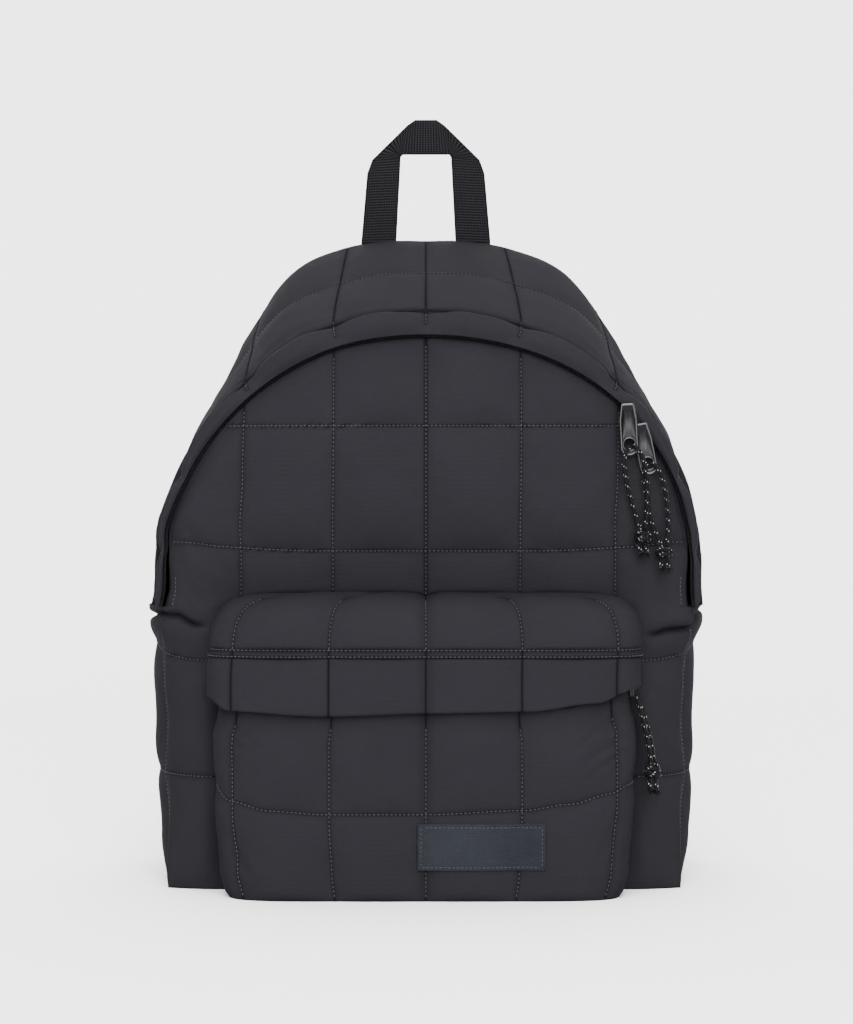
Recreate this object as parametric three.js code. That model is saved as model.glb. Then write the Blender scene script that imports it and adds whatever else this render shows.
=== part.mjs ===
// A quilted backpack: a padded body with an arched zip, a front pocket under a flap, a webbing
// handle on top and two carrying straps behind. Millimetres, +Z up, the front looks along -Y.
import * as THREE from 'three';

// Body sizes
const bagHeight = 400;
const bagHalfWidth = 167;
const frontDepth = 50;
const rearDepth = 82;
const wall = 6;
const backPadding = 8;
const baseThickness = 5;
const gap = 0.3;

// Band over the zip
const gussetWall = 5;
const lipForward = 5;
const crownSwell = 14;
const endSwell = 2.5;
const sideBelly = 5;
const swellFade = 2.6;
const bellyFade = 4;

// Zip tape, sliders and tabs
const zipSeam = 2.5;
const tapeRise = 0.5;
const tapeThickness = 2.5;
const tapeSetBack = 1.3;
const sliderWidth = 8;
const tabWidth = 10.8;
const tabLength = 31;
const tabThickness = 1.6;
const tabHoleRadius = 3.7;
const tabClear = 7;

// Quilting
const quiltPitch = 55.5;
const quiltPuff = 3.5;
const quiltHeights = [0, 67, 136, 201, 275, 340];
const zipPuffEdge = 14;
const puffEndAngle = 80;
const hoodPuff = 0.6;
const flapPuff = 0.5;
const flapSpread = 0.6;

// Front pocket
const pocketHalfWidth = 121.5;
const pocketDepth = 44;
const pocketSeamHeight = 142;
const pocketPower = 6;
const pocketWall = 4;
const pocketTopHeight = 112;
const pocketPuff = 3;
const pocketQuiltHeight = 50;
const hoodRise = 32;
const hoodRoundness = 0.42;
const hoodClear = 4;
const flapReach = 3.5;
const flapWall = 3.5;
const flapDrop = 34;
const flapEndLift = 11;
const pocketRecess = 4;
const pocketSliderHeight = 12;
const pocketSliderWidth = 8;

// Front outline: the arch of the zip stands on two zip ends, the flat front is a little wider than
// the pocket's flap, and its corners stay inside the zip
const zipEndHeight = 168;
const archRise = 161;
const archInset = 7;
const archHalfWidth = bagHalfWidth - archInset;
const archPower = 2.15;
const flatClear = 1;
const flatHalfWidth = pocketHalfWidth + flapReach + flatClear;
const cornerClear = 2;
const cornerReach = archHalfWidth - zipSeam - cornerClear - flatHalfWidth;
const cornerDepth = 55;
const frontDome = 8;

// Label
const labelWidth = 74;
const labelHeight = 27;
const labelThickness = 1.2;
const labelLeft = -5;
const labelLow = 18;
const labelSeat = 0.8;

// Handle
const webbingWidth = 22.8;
const webbingThickness = 2.4;
const handleRise = 79;
const handleHalfWidth = 42;
const handleSetBack = 2;

// Carrying straps
const strapWidth = 62;
const strapThickness = 12;
const strapStandOff = 26;
const lowerWebbingWidth = 25;
const lowerWebbingThickness = 2;
const buckleWidth = 34;
const buckleHeight = 24;
const buckleThickness = 5;

// Cords
const cordRadius = 1.25;
const cordSides = 8;
const cordSteps = 10;
const cordDrop = 50;
const knotWidth = 11;
const knotHeight = 17;
const knotSides = 10;
const knotClear = 0.45;

const clothColour = 0x37363b;
const blackColour = 0x17171a;
const metalColour = 0x55565a;

function cloth(colour) {
  return new THREE.MeshStandardMaterial({ color: colour, roughness: 0.85, metalness: 0 });
}

function metal() {
  return new THREE.MeshStandardMaterial({ color: metalColour, roughness: 0.35, metalness: 0.9 });
}

function piece(name, geometry, material) {
  const mesh = new THREE.Mesh(geometry, material);
  mesh.name = name;
  return mesh;
}

// A smooth value out of a short table, between the rows next to a place in its key column
function tableValue(rows, key, column, at) {
  if (at <= rows[0][key]) return rows[0][column];
  for (let i = 1; i < rows.length; i++) {
    const low = rows[i - 1];
    const high = rows[i];
    if (at <= high[key]) {
      const share = (at - low[key]) / (high[key] - low[key]);
      const eased = share * share * (3 - 2 * share);
      return low[column] + (high[column] - low[column]) * eased;
    }
  }
  return rows[rows.length - 1][column];
}

function smooth(low, high, at) {
  return THREE.MathUtils.smoothstep(at, low, high);
}

// How far a quilted cell stands up between two rows of stitches: 0 on a row, 1 in the middle
function lobe(share) {
  return Math.sqrt(Math.sin(Math.PI * THREE.MathUtils.clamp(share, 0, 1)));
}

function columnLobe(along, pitch) {
  const cell = along / pitch;
  return lobe(cell - Math.floor(cell));
}

function rowLobe(height, lines) {
  for (let i = 1; i < lines.length; i++) {
    if (height <= lines[i]) return lobe((height - lines[i - 1]) / (lines[i] - lines[i - 1]));
  }
  return 0;
}

// A padded sheet over a grid of points: the outer face, an inner face one wall behind it, and a
// closed edge round the cells that are present.
function paddedSheet(columns, rows, at, options) {
  const { wallAt, puff = () => 0, present = () => true, keep = (point) => point } = options;
  const grid = [];
  for (let i = 0; i < columns.length; i++) {
    grid.push(rows.map((row, j) => (at(columns[i], row, i, j))));
  }
  const isPresent = (i, j) => i >= 0 && j >= 0 && i < columns.length - 1 && j < rows.length - 1
    && present(columns[i], columns[i + 1], rows[j], rows[j + 1]);
  const touches = (i, j) => isPresent(i, j) || isPresent(i - 1, j) || isPresent(i, j - 1)
    || isPresent(i - 1, j - 1);
  const known = (i, j) => i >= 0 && j >= 0 && i < columns.length && j < rows.length && touches(i, j);
  const outer = new Map();
  const inner = new Map();
  const positions = [];
  const add = (point) => {
    positions.push(point.x, point.y, point.z);
    return positions.length / 3 - 1;
  };
  for (let i = 0; i < columns.length; i++) {
    for (let j = 0; j < rows.length; j++) {
      if (!touches(i, j)) continue;
      const next = known(i + 1, j) ? grid[i + 1][j] : grid[i][j];
      const previous = known(i - 1, j) ? grid[i - 1][j] : grid[i][j];
      const above = known(i, j + 1) ? grid[i][j + 1] : grid[i][j];
      const below = known(i, j - 1) ? grid[i][j - 1] : grid[i][j];
      const across = next.clone().sub(previous);
      const upward = above.clone().sub(below);
      const normal = across.cross(upward).normalize();
      const point = grid[i][j];
      const lifted = point.clone().addScaledVector(normal, puff(columns[i], rows[j], point));
      outer.set(`${i},${j}`, add(lifted));
      inner.set(`${i},${j}`, add(keep(point.clone().addScaledVector(normal, -wallAt))));
    }
  }
  const faces = [];
  const quad = (a, b, c, d) => faces.push(a, b, c, a, c, d);
  const side = (i0, j0, i1, j1) => {
    const a = `${i0},${j0}`;
    const b = `${i1},${j1}`;
    quad(outer.get(b), outer.get(a), inner.get(a), inner.get(b));
  };
  for (let i = 0; i < columns.length - 1; i++) {
    for (let j = 0; j < rows.length - 1; j++) {
      if (!isPresent(i, j)) continue;
      const corners = [`${i},${j}`, `${i + 1},${j}`, `${i + 1},${j + 1}`, `${i},${j + 1}`];
      quad(...corners.map((key) => outer.get(key)));
      quad(...corners.map((key) => inner.get(key)).reverse());
      if (!isPresent(i, j - 1)) side(i, j, i + 1, j);
      if (!isPresent(i + 1, j)) side(i + 1, j, i + 1, j + 1);
      if (!isPresent(i, j + 1)) side(i + 1, j + 1, i, j + 1);
      if (!isPresent(i - 1, j)) side(i, j + 1, i, j);
    }
  }
  const geometry = new THREE.BufferGeometry();
  geometry.setAttribute('position', new THREE.Float32BufferAttribute(positions, 3));
  geometry.setIndex(faces);
  return geometry;
}

function steps(from, to, count) {
  return Array.from({ length: count + 1 }, (_, i) => from + (to - from) * (i / count));
}

function mirrored(values) {
  return [...values.slice(1).reverse().map((value) => -value), ...values];
}

// A flat plate with its outline in X and Z, from y = front to y = front + depth
function plate(shape, front, depth, curveSegments = 6) {
  const geometry = new THREE.ExtrudeGeometry(shape, { depth, bevelEnabled: false, curveSegments });
  geometry.rotateX(Math.PI / 2);
  geometry.translate(0, front + depth, 0);
  return geometry;
}

function shapeOf(points) {
  return new THREE.Shape(points.map(([x, z]) => new THREE.Vector2(x, z)));
}

// Share of the arch's size at which a point lies: 1 on the arch grown by this much, less inside it
function archReach(x, z, grow) {
  const across = (Math.abs(x) / (archHalfWidth + grow)) ** archPower;
  const up = (Math.max(z - zipEndHeight, 0) / (archRise + grow)) ** archPower;
  return (across + up) ** (1 / archPower);
}

function superArch(halfWidth, rise, across) {
  const share = Math.min(Math.abs(across) / halfWidth, 1);
  return rise * (1 - share ** archPower) ** (1 / archPower);
}

// Body walls below the zip ends, by height: up is a share of zipEndHeight, reach a share of
// bagHalfWidth, and square says how far the front corner goes from round (0) to sharp (1).
const SIDE_ROWS = [
  { up: 0, reach: 0.94, square: 0.75 },
  { up: 0.17, reach: 0.958, square: 0.35 },
  { up: 0.35, reach: 0.968, square: 0.1 },
  { up: 0.55, reach: 0.977, square: 0.1 },
  { up: 0.8, reach: 0.99, square: 0.4 },
  { up: 1, reach: 1, square: 1 },
];
const sharpSetBack = 3;
const rearReach = 0.945;
const zipTurn = 1.5;

// The walls' path seen from above, by turn: 0 to 1 along the flat front, 1 to 2 round the corner,
// 2 to 3 along the side to the back panel
function wallPoint(turn, height, inset = 0) {
  const up = height / zipEndHeight;
  const side = bagHalfWidth * tableValue(SIDE_ROWS, 'up', 'reach', up) - inset;
  const square = tableValue(SIDE_ROWS, 'up', 'square', up);
  const sign = Math.sign(turn);
  const way = Math.abs(turn);
  const front = -frontDepth + inset;
  const sideStart = cornerDepth - frontDepth;
  if (way <= 1) return new THREE.Vector3(sign * way * flatHalfWidth, front, height);
  if (way <= 2) {
    const angle = (way - 1) * Math.PI / 2;
    const round = new THREE.Vector2(
      flatHalfWidth + (side - flatHalfWidth) * Math.sin(angle),
      sideStart + (front - sideStart) * Math.cos(angle),
    );
    const tip = new THREE.Vector2(flatHalfWidth + cornerReach - inset, front + sharpSetBack);
    const sharp = way <= zipTurn
      ? new THREE.Vector2(flatHalfWidth, front).lerp(tip, (way - 1) / (zipTurn - 1))
      : tip.lerp(new THREE.Vector2(side, sideStart), (way - zipTurn) / (2 - zipTurn));
    round.lerp(sharp, square);
    return new THREE.Vector3(sign * round.x, round.y, height);
  }
  const back = way - 2;
  const x = side - bagHalfWidth * (1 - rearReach) * back * back;
  return new THREE.Vector3(sign * x, sideStart + (rearDepth - sideStart) * back, height);
}

// Length along the wall from the middle of the front, for the stitch columns
function wallLength(turn) {
  const height = zipEndHeight * 0.5;
  const count = 24;
  let length = 0;
  let last = wallPoint(0.0001, height);
  for (let i = 1; i <= count; i++) {
    const point = wallPoint(Math.max(Math.abs(turn) * (i / count), 0.0001), height);
    length += point.distanceTo(last);
    last = point;
  }
  return length * Math.sign(turn);
}

// The front panel: below the zip ends it wraps to the back panel, above them it fills the arch
function frontPoint(turn, row) {
  if (row <= 1) return wallPoint(turn, row * zipEndHeight);
  const foot = wallPoint(turn, zipEndHeight);
  const rise = superArch(archHalfWidth - zipSeam, archRise - zipSeam, foot.x);
  const share = row - 1;
  const height = zipEndHeight + gap + (rise - gap) * share;
  const spread = 1 - (Math.abs(foot.x) / archHalfWidth) ** 2;
  const dome = frontDome * spread * smooth(0.06, 0.45, share) * (1 - smooth(0.72, 1, share));
  return new THREE.Vector3(foot.x, foot.y - dome, height);
}

function frontPuff(turn, row, point) {
  const hoodTop = pocketSeamHeight + hoodRise + 2 * hoodClear;
  const behindPocket = Math.abs(point.x) < flatHalfWidth + flatClear && point.z < hoodTop;
  if (behindPocket) return 0;
  const fromZip = (1 - archReach(point.x, point.z, -zipSeam)) * archHalfWidth;
  const edge = row >= 1 ? smooth(0, zipPuffEdge, fromZip) : 1;
  const along = Math.abs(turn) <= 1 ? Math.abs(point.x) : wallLength(Math.abs(turn));
  const rear = 1 - smooth(2.8, 3, Math.abs(turn));
  const seam = row <= 1 && Math.abs(turn) > zipTurn - 0.01 ? 1 - smooth(0.9, 1, row) : 1;
  return quiltPuff * columnLobe(along, quiltPitch) * rowLobe(point.z, quiltHeights) * edge * rear * seam;
}

function frontPanel() {
  const cell = quiltPitch / flatHalfWidth;
  const front = [0, cell / 2, cell, cell * 1.5, cell * 2, 1, 1.13, 1.26, 1.38];
  const turns = [...front, zipTurn, 1.66, 1.83, 2, 2.25, 2.5, 2.75, 3];
  const low = quiltHeights.filter((height) => height < zipEndHeight).map((height) => height / zipEndHeight);
  const lowRows = low.flatMap((row, i) => [row, (row + (low[i + 1] ?? 1)) / 2]);
  const highRows = quiltHeights.filter((height) => height > zipEndHeight && height < zipEndHeight + archRise)
    .map((height) => 1 + (height - zipEndHeight) / archRise);
  const overHood = 1 + (pocketSeamHeight + hoodRise + hoodClear - zipEndHeight) / archRise;
  const rows = [...lowRows, 1, overHood, (overHood + highRows[0]) / 2];
  highRows.forEach((row, i) => {
    const next = highRows[i + 1] ?? 2;
    rows.push(row, row + (next - row) / 3, row + (next - row) * 2 / 3);
  });
  rows.push(2);
  return paddedSheet(mirrored(turns), rows, frontPoint, {
    wallAt: wall,
    puff: frontPuff,
    present: (a, b, low0, high0) => high0 <= 1 || (Math.abs(a) <= zipTurn && Math.abs(b) <= zipTurn),
    keep: (point) => point.set(point.x, Math.min(point.y, rearDepth), Math.max(point.z, 0)),
  });
}

// Outline of the back panel and of the rear edge of the band over the zip. angle is the place on
// the zip's arch, from the crown (0) to the zip end (90). across is a share of bagHalfWidth and up
// a share of the height between the zip ends and the top.
const BACK_ROWS = [
  { angle: 0, across: 0, up: 1 },
  { angle: 9.5, across: 0.16, up: 0.999 },
  { angle: 19, across: 0.33, up: 0.977 },
  { angle: 30, across: 0.498, up: 0.922 },
  { angle: 41, across: 0.64, up: 0.795 },
  { angle: 53, across: 0.765, up: 0.61 },
  { angle: 66, across: 0.87, up: 0.42 },
  { angle: 78, across: 0.93, up: 0.2 },
  { angle: 90, across: rearReach, up: 0 },
];

const backCurve = new THREE.SplineCurve(BACK_ROWS.map((row) => new THREE.Vector2(
  bagHalfWidth * row.across,
  zipEndHeight + (bagHeight - zipEndHeight) * row.up,
)));

function backPoint(angle) {
  const way = Math.abs(angle);
  const next = Math.max(BACK_ROWS.findIndex((row) => row.angle >= way), 1);
  const low = BACK_ROWS[next - 1].angle;
  const share = (way - low) / (BACK_ROWS[next].angle - low);
  const point = backCurve.getPoint((next - 1 + share) / (BACK_ROWS.length - 1));
  return new THREE.Vector2(Math.sign(angle) * point.x, point.y);
}

function archPoint(angle, grow = 0) {
  const turn = Math.abs(angle) * Math.PI / 180;
  const x = (archHalfWidth + grow) * Math.sin(turn) ** (2 / archPower);
  const z = zipEndHeight + (archRise + grow) * Math.max(Math.cos(turn), 0) ** (2 / archPower);
  return new THREE.Vector2(Math.sign(angle) * x, z);
}

// The band's section from the lip to the back panel. back is a share of the depth from the front
// plane to the back panel (below 0 in front of it), blend goes from the zip's arch to the rear
// outline, swell and belly are shares of the band's swelling over the arch and at the sides, and
// puff is a share of quiltPuff.
const GUSSET_ROWS = [
  { back: -1, blend: 0, swell: 0.07, belly: 0, puff: 0 },
  { back: -0.8, blend: 0, swell: 0.5, belly: 0, puff: 0 },
  { back: 0.015, blend: 0.01, swell: 0.82, belly: 0, puff: 0.2 },
  { back: 0.105, blend: 0.06, swell: 1, belly: 0.12, puff: 0.5 },
  { back: 0.3, blend: 0.25, swell: 0.9, belly: 0.6, puff: 1 },
  { back: 0.53, blend: 0.48, swell: 0.66, belly: 1, puff: 0.4 },
  { back: 0.76, blend: 0.73, swell: 0.36, belly: 0.7, puff: 1 },
  { back: 1, blend: 1, swell: 0, belly: 0, puff: 0 },
];

function gussetPoint(angle, row) {
  const station = GUSSET_ROWS[row];
  const lip = archPoint(angle);
  const rear = backPoint(angle);
  const turn = angle * Math.PI / 180;
  const crown = Math.max(Math.cos(turn), 0) ** swellFade;
  const swell = (endSwell + (crownSwell - endSwell) * crown) * station.swell;
  const belly = sideBelly * Math.abs(Math.sin(turn)) ** bellyFade * station.belly;
  const ahead = archPoint(angle + 1);
  const behind = archPoint(angle - 1);
  const outward = new THREE.Vector2(behind.y - ahead.y, ahead.x - behind.x).normalize();
  const foot = lip.lerp(rear, station.blend).addScaledVector(outward, swell + belly);
  const depth = station.back < 0 ? station.back * lipForward : station.back * (frontDepth + rearDepth);
  return new THREE.Vector3(foot.x, -frontDepth + depth, Math.max(foot.y, zipEndHeight + gap));
}

function gussetPuff(angle, row, point) {
  const end = 1 - smooth(puffEndAngle, 90, Math.abs(angle));
  return quiltPuff * GUSSET_ROWS[row].puff * columnLobe(Math.abs(point.x), quiltPitch) * end;
}

// The band's inner face stays outside the arch of the tape
function keepOverZip(point) {
  const foot = zipEndHeight + gap;
  const reach = archReach(point.x, point.z, tapeRise + gap);
  if (reach < 1) {
    point.x /= reach;
    point.z = zipEndHeight + (point.z - zipEndHeight) / reach;
  }
  point.y = Math.min(point.y, rearDepth);
  point.z = Math.max(point.z, foot);
  return point;
}

const archAngles = [0, 4.5, 9, 13.5, 18.5, 23.5, 29, 35, 41, 47, 53, 60, 66, 72, 78, 84, 90];

function mainGusset() {
  const rows = GUSSET_ROWS.map((_, i) => i);
  return paddedSheet(mirrored(archAngles), rows, gussetPoint, {
    wallAt: gussetWall,
    puff: gussetPuff,
    keep: keepOverZip,
  });
}

// The back panel's outline goes up one side, over the top and down the other
function backOutline() {
  const low = [0, 0.2, 0.4, 0.6, 0.8].map((up) => {
    const point = wallPoint(3, up * zipEndHeight);
    return [point.x, point.z];
  });
  const high = archAngles.slice().reverse().map((angle) => {
    const point = backPoint(angle);
    return [point.x, point.y];
  });
  const right = [...low, ...high];
  const left = right.slice(0, -1).reverse().map(([x, z]) => [-x, z]);
  return [...right, ...left];
}

function backPanel() {
  return plate(shapeOf(backOutline()), rearDepth + gap, backPadding);
}

function basePanel() {
  const clear = wall + gap;
  const turns = mirrored([0, 1, 1.25, 1.5, 1.75, 2, 2.5, 3]);
  const points = turns.map((turn) => {
    const point = wallPoint(turn, 0, clear);
    return new THREE.Vector2(point.x, point.y);
  });
  points[0].y = rearDepth;
  points[points.length - 1].y = rearDepth;
  return new THREE.ExtrudeGeometry(new THREE.Shape(points), { depth: baseThickness, bevelEnabled: false });
}

// The zip tape fills the seam between the front panel and the lip
function mainZipper() {
  const angles = steps(-90, 90, 36);
  const outer = angles.map((angle) => archPoint(angle, tapeRise));
  const inner = angles.map((angle) => archPoint(angle, gap - zipSeam)).reverse();
  const foot = zipEndHeight + gap;
  const points = [...outer, ...inner].map((point) => new THREE.Vector2(point.x, Math.max(point.y, foot)));
  return plate(new THREE.Shape(points), tapeFront(), tapeThickness);
}

// Sliders sit in the seam at these places on the arch. Their tabs lean by these angles, stand in front
// of the seam, and start a little above it.
const PULLS = [
  { name: 'front', angle: 44.8, lean: 3, forward: 2.2, rise: 3 },
  { name: 'rear', angle: 49.2, lean: 11, forward: 0, rise: 0 },
];

function tapeFront() {
  return -frontDepth + tapeSetBack;
}

function tabBack(pull) {
  return -frontDepth - tabClear - pull.forward;
}

function slider(pull) {
  const at = archPoint(pull.angle, (gap - zipSeam) / 2);
  const height = zipSeam - 2 * gap;
  const rear = tapeFront() - gap;
  const front = tabBack(pull) + gap;
  const geometry = new THREE.BoxGeometry(sliderWidth, rear - front, height);
  const mesh = piece(`zip_slider_${pull.name}`, geometry, metal());
  const before = archPoint(pull.angle - 1);
  const after = archPoint(pull.angle + 1);
  mesh.position.set(at.x, (front + rear) / 2, at.y);
  mesh.rotation.y = Math.atan2(before.y - after.y, after.x - before.x);
  return mesh;
}

function tabShape() {
  const half = tabWidth / 2;
  const topHalf = half * 0.76;
  const shape = new THREE.Shape();
  shape.moveTo(-topHalf, 0);
  shape.lineTo(-half, -tabLength * 0.3);
  shape.lineTo(-half, -tabLength + half);
  shape.absarc(0, -tabLength + half, half, Math.PI, 2 * Math.PI, false);
  shape.lineTo(half, -tabLength * 0.3);
  shape.lineTo(topHalf, 0);
  const hole = new THREE.Path();
  hole.absarc(0, -tabLength + half + 1.4, tabHoleRadius, 0, 2 * Math.PI, true);
  shape.holes.push(hole);
  return shape;
}

function pullTab(pull) {
  const at = archPoint(pull.angle);
  const geometry = plate(tabShape(), -tabThickness, tabThickness, 5);
  const mesh = piece(`pull_tab_${pull.name}`, geometry, metal());
  mesh.position.set(at.x, tabBack(pull), at.y + pull.rise);
  mesh.rotation.y = -pull.lean * Math.PI / 180;
  return mesh;
}

// Routes of the pull cords down to their knots, from the top of a tab or from the end of the flap's
// lower edge. All columns are shares of cordDrop: across to the right, out of the front, down.
const CORDS = [
  { name: 'pull_cord_a', from: 'front', route: [
    { across: 0.02, out: 0.064, down: 0.52 }, { across: -0.03, out: 0.088, down: 0.6 },
    { across: -0.045, out: 0.088, down: 0.7 }, { across: -0.03, out: 0.068, down: 0.81 },
    { across: -0.002, out: 0.052, down: 0.97 }, { across: 0.044, out: 0.044, down: 1.14 },
    { across: 0.098, out: 0.044, down: 1.32 }, { across: 0.15, out: 0.048, down: 1.47 },
  ] },
  { name: 'pull_cord_b', from: 'front', route: [
    { across: 0.066, out: 0.066, down: 0.49 }, { across: 0.13, out: 0.104, down: 0.56 },
    { across: 0.178, out: 0.124, down: 0.655 }, { across: 0.208, out: 0.122, down: 0.78 },
    { across: 0.229, out: 0.118, down: 0.95 }, { across: 0.228, out: 0.11, down: 1.12 },
    { across: 0.222, out: 0.085, down: 1.3 }, { across: 0.212, out: 0.056, down: 1.47 },
  ] },
  { name: 'pull_cord_c', from: 'rear', route: [
    { across: 0.07, out: 0.068, down: 0.475 }, { across: 0.035, out: 0.08, down: 0.555 },
    { across: 0.035, out: 0.084, down: 0.655 }, { across: 0.06, out: 0.088, down: 0.79 },
    { across: 0.084, out: 0.09, down: 0.94 }, { across: 0.11, out: 0.092, down: 1.09 },
    { across: 0.165, out: 0.092, down: 1.26 }, { across: 0.24, out: 0.092, down: 1.43 },
  ] },
  { name: 'pull_cord_d', from: 'rear', route: [
    { across: 0.132, out: 0.068, down: 0.465 }, { across: 0.2, out: 0.08, down: 0.535 },
    { across: 0.25, out: 0.084, down: 0.64 }, { across: 0.288, out: 0.084, down: 0.79 },
    { across: 0.312, out: 0.084, down: 0.97 }, { across: 0.323, out: 0.084, down: 1.14 },
    { across: 0.32, out: 0.088, down: 1.29 }, { across: 0.305, out: 0.092, down: 1.43 },
  ] },
  { name: 'pocket_cord_a', from: 'pocket', route: [
    { across: -0.052, out: 0.03, down: 0.056 }, { across: -0.012, out: 0.026, down: 0.16 },
    { across: 0.028, out: 0.016, down: 0.29 }, { across: 0.06, out: 0.004, down: 0.43 },
    { across: 0.092, out: -0.008, down: 0.57 }, { across: 0.116, out: -0.02, down: 0.71 },
    { across: 0.136, out: -0.028, down: 0.83 },
  ] },
  { name: 'pocket_cord_b', from: 'pocket', route: [
    { across: -0.044, out: -0.028, down: 0.064 }, { across: 0.012, out: -0.034, down: 0.17 },
    { across: 0.06, out: -0.042, down: 0.29 }, { across: 0.1, out: -0.054, down: 0.43 },
    { across: 0.136, out: -0.066, down: 0.57 }, { across: 0.16, out: -0.078, down: 0.71 },
    { across: 0.178, out: -0.086, down: 0.83 },
  ] },
];

function cordStart(from) {
  const pull = PULLS.find((entry) => entry.name === from);
  if (pull) {
    const at = archPoint(pull.angle);
    return new THREE.Vector3(at.x, tabBack(pull), at.y + pull.rise);
  }
  const flapEnd = pocketSeamHeight - flapDrop + flapEndLift;
  return new THREE.Vector3(pocketHalfWidth + flapReach, -frontDepth - pocketDepth / 2, flapEnd);
}

function cordPoints(entry) {
  const start = cordStart(entry.from);
  return entry.route.map((row) => new THREE.Vector3(
    start.x + row.across * cordDrop,
    start.y - row.out * cordDrop,
    start.z - row.down * cordDrop,
  ));
}

function cord(entry) {
  const path = new THREE.CatmullRomCurve3(cordPoints(entry), false, 'centripetal');
  const section = new THREE.Shape();
  section.absarc(0, 0, cordRadius, 0, 2 * Math.PI, false);
  const geometry = new THREE.ExtrudeGeometry(section, {
    extrudePath: path,
    steps: cordSteps,
    curveSegments: cordSides / 2,
    bevelEnabled: false,
  });
  return piece(entry.name, geometry, cloth(blackColour));
}

// Knots with their short tails under the ends of two strands each: a round knot over a narrower,
// frayed end. The profile's columns are shares of the knot's radius and height.
const KNOTS = [
  { name: 'pull_knot_front', strands: ['pull_cord_a', 'pull_cord_b'], wide: 1, tall: 1 },
  { name: 'pull_knot_rear', strands: ['pull_cord_c', 'pull_cord_d'], wide: 1, tall: 0.92 },
  { name: 'pocket_knot', strands: ['pocket_cord_a', 'pocket_cord_b'], wide: 0.95, tall: 1.15 },
];
const KNOT_PROFILE = [
  { out: 0, down: 1 }, { out: 0.4, down: 1 }, { out: 0.62, down: 0.9 }, { out: 0.52, down: 0.62 },
  { out: 0.6, down: 0.48 }, { out: 0.98, down: 0.32 }, { out: 0.98, down: 0.16 }, { out: 0.62, down: 0.02 },
  { out: 0, down: 0 },
];

function knotTop(entry) {
  const ends = entry.strands.map((name) => cordPoints(CORDS.find((strand) => strand.name === name)).pop());
  return ends[0].add(ends[1]).multiplyScalar(0.5).setZ(ends[0].z - knotClear);
}

function knot(entry) {
  const radius = knotWidth * entry.wide / 2;
  const tall = knotHeight * entry.tall;
  const profile = KNOT_PROFILE.map((row) => new THREE.Vector2(row.out * radius, -row.down * tall));
  const geometry = new THREE.LatheGeometry(profile, knotSides);
  geometry.rotateX(Math.PI / 2);
  const mesh = piece(entry.name, geometry, cloth(blackColour));
  mesh.position.copy(knotTop(entry));
  return mesh;
}

// The pocket's outline seen from above, by turn: -1 and 1 at the front panel, 0 in the middle
const POCKET_ROWS = [
  { up: 0, reach: 0.94 },
  { up: 0.14, reach: 0.97 },
  { up: 0.4, reach: 1 },
  { up: 0.8, reach: 1 },
  { up: 1, reach: 0.965 },
];

function pocketPoint(turn, height, out) {
  const angle = turn * Math.PI / 2;
  const round = 2 / pocketPower;
  const x = Math.sign(turn) * (pocketHalfWidth + out) * Math.abs(Math.sin(angle)) ** round;
  const y = -frontDepth - gap - (pocketDepth + out) * Math.max(Math.cos(angle), 0) ** round;
  return new THREE.Vector3(x, y, height);
}

const pocketTurns = mirrored([0, 0.09, 0.18, 0.28, 0.38, 0.48, 0.56, 0.64, 0.72, 0.8, 0.87, 0.94, 1]);

function pocketFrontPoint(turn, row) {
  const height = row * pocketTopHeight;
  const reach = tableValue(POCKET_ROWS, 'up', 'reach', row);
  const recess = pocketRecess * smooth(0.8, 1, row);
  const point = pocketPoint(turn, height, -recess);
  point.x *= reach + (1 - reach) * smooth(0.8, 1, row);
  return point;
}

function keepPocketClear(point) {
  return point.set(point.x, Math.min(point.y, -frontDepth - gap), Math.max(point.z, 0));
}

function pocketQuilt(turn, point) {
  return pocketPuff * columnLobe(Math.abs(point.x), quiltPitch) * (1 - smooth(0.9, 1, Math.abs(turn)));
}

function pocketFront() {
  const seam = pocketQuiltHeight / pocketTopHeight;
  const rows = [0, seam * 0.3, seam * 0.65, seam, seam + (1 - seam) * 0.25, seam + (1 - seam) * 0.5, 0.85, 1];
  return paddedSheet(pocketTurns, rows, pocketFrontPoint, {
    wallAt: pocketWall,
    puff: (turn, row, point) => pocketQuilt(turn, point) * rowLobe(row, [0, seam, 1]),
    keep: keepPocketClear,
  });
}

function pocketBase() {
  const points = pocketTurns.map((turn) => {
    const point = pocketFrontPoint(turn, 0);
    const clear = pocketWall + gap;
    const width = Math.max(Math.abs(point.x) - clear, 0);
    return new THREE.Vector2(Math.sign(point.x) * width, Math.min(point.y + clear, -frontDepth - gap));
  });
  const shape = new THREE.Shape(points);
  return new THREE.ExtrudeGeometry(shape, { depth: baseThickness, bevelEnabled: false });
}

// The hood: a boxy dome over the seam, whose last row lies along the front panel
function hoodPoint(turn, rise) {
  const angle = rise * Math.PI / 2;
  const draw = rise < 1 ? Math.cos(angle) ** hoodRoundness : 0.3;
  const edge = pocketPoint(turn, pocketSeamHeight + gap, flapReach);
  const y = rise < 1 ? (edge.y + frontDepth + gap) * draw - frontDepth - gap : -frontDepth - gap;
  const lift = hoodRise * Math.sin(angle) ** 0.8;
  return new THREE.Vector3(edge.x * draw, y, pocketSeamHeight + gap + lift);
}

function pocketHood() {
  const rises = [0, 0.16, 0.34, 0.52, 0.7, 0.84, 0.93, 1];
  return paddedSheet(pocketTurns, rises, hoodPoint, {
    wallAt: pocketWall,
    puff: (turn, rise, point) => pocketQuilt(turn, point) * lobe(rise) * hoodPuff,
    keep: (point) => keepPocketClear(point).setZ(Math.max(point.z, pocketSeamHeight + gap)),
  });
}

function flapPoint(turn, row) {
  const end = flapEndLift * smooth(0.45, 1, Math.abs(turn));
  const drop = (flapDrop - end) * row;
  return pocketPoint(turn, pocketSeamHeight - drop, flapReach + flapSpread * row);
}

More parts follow.
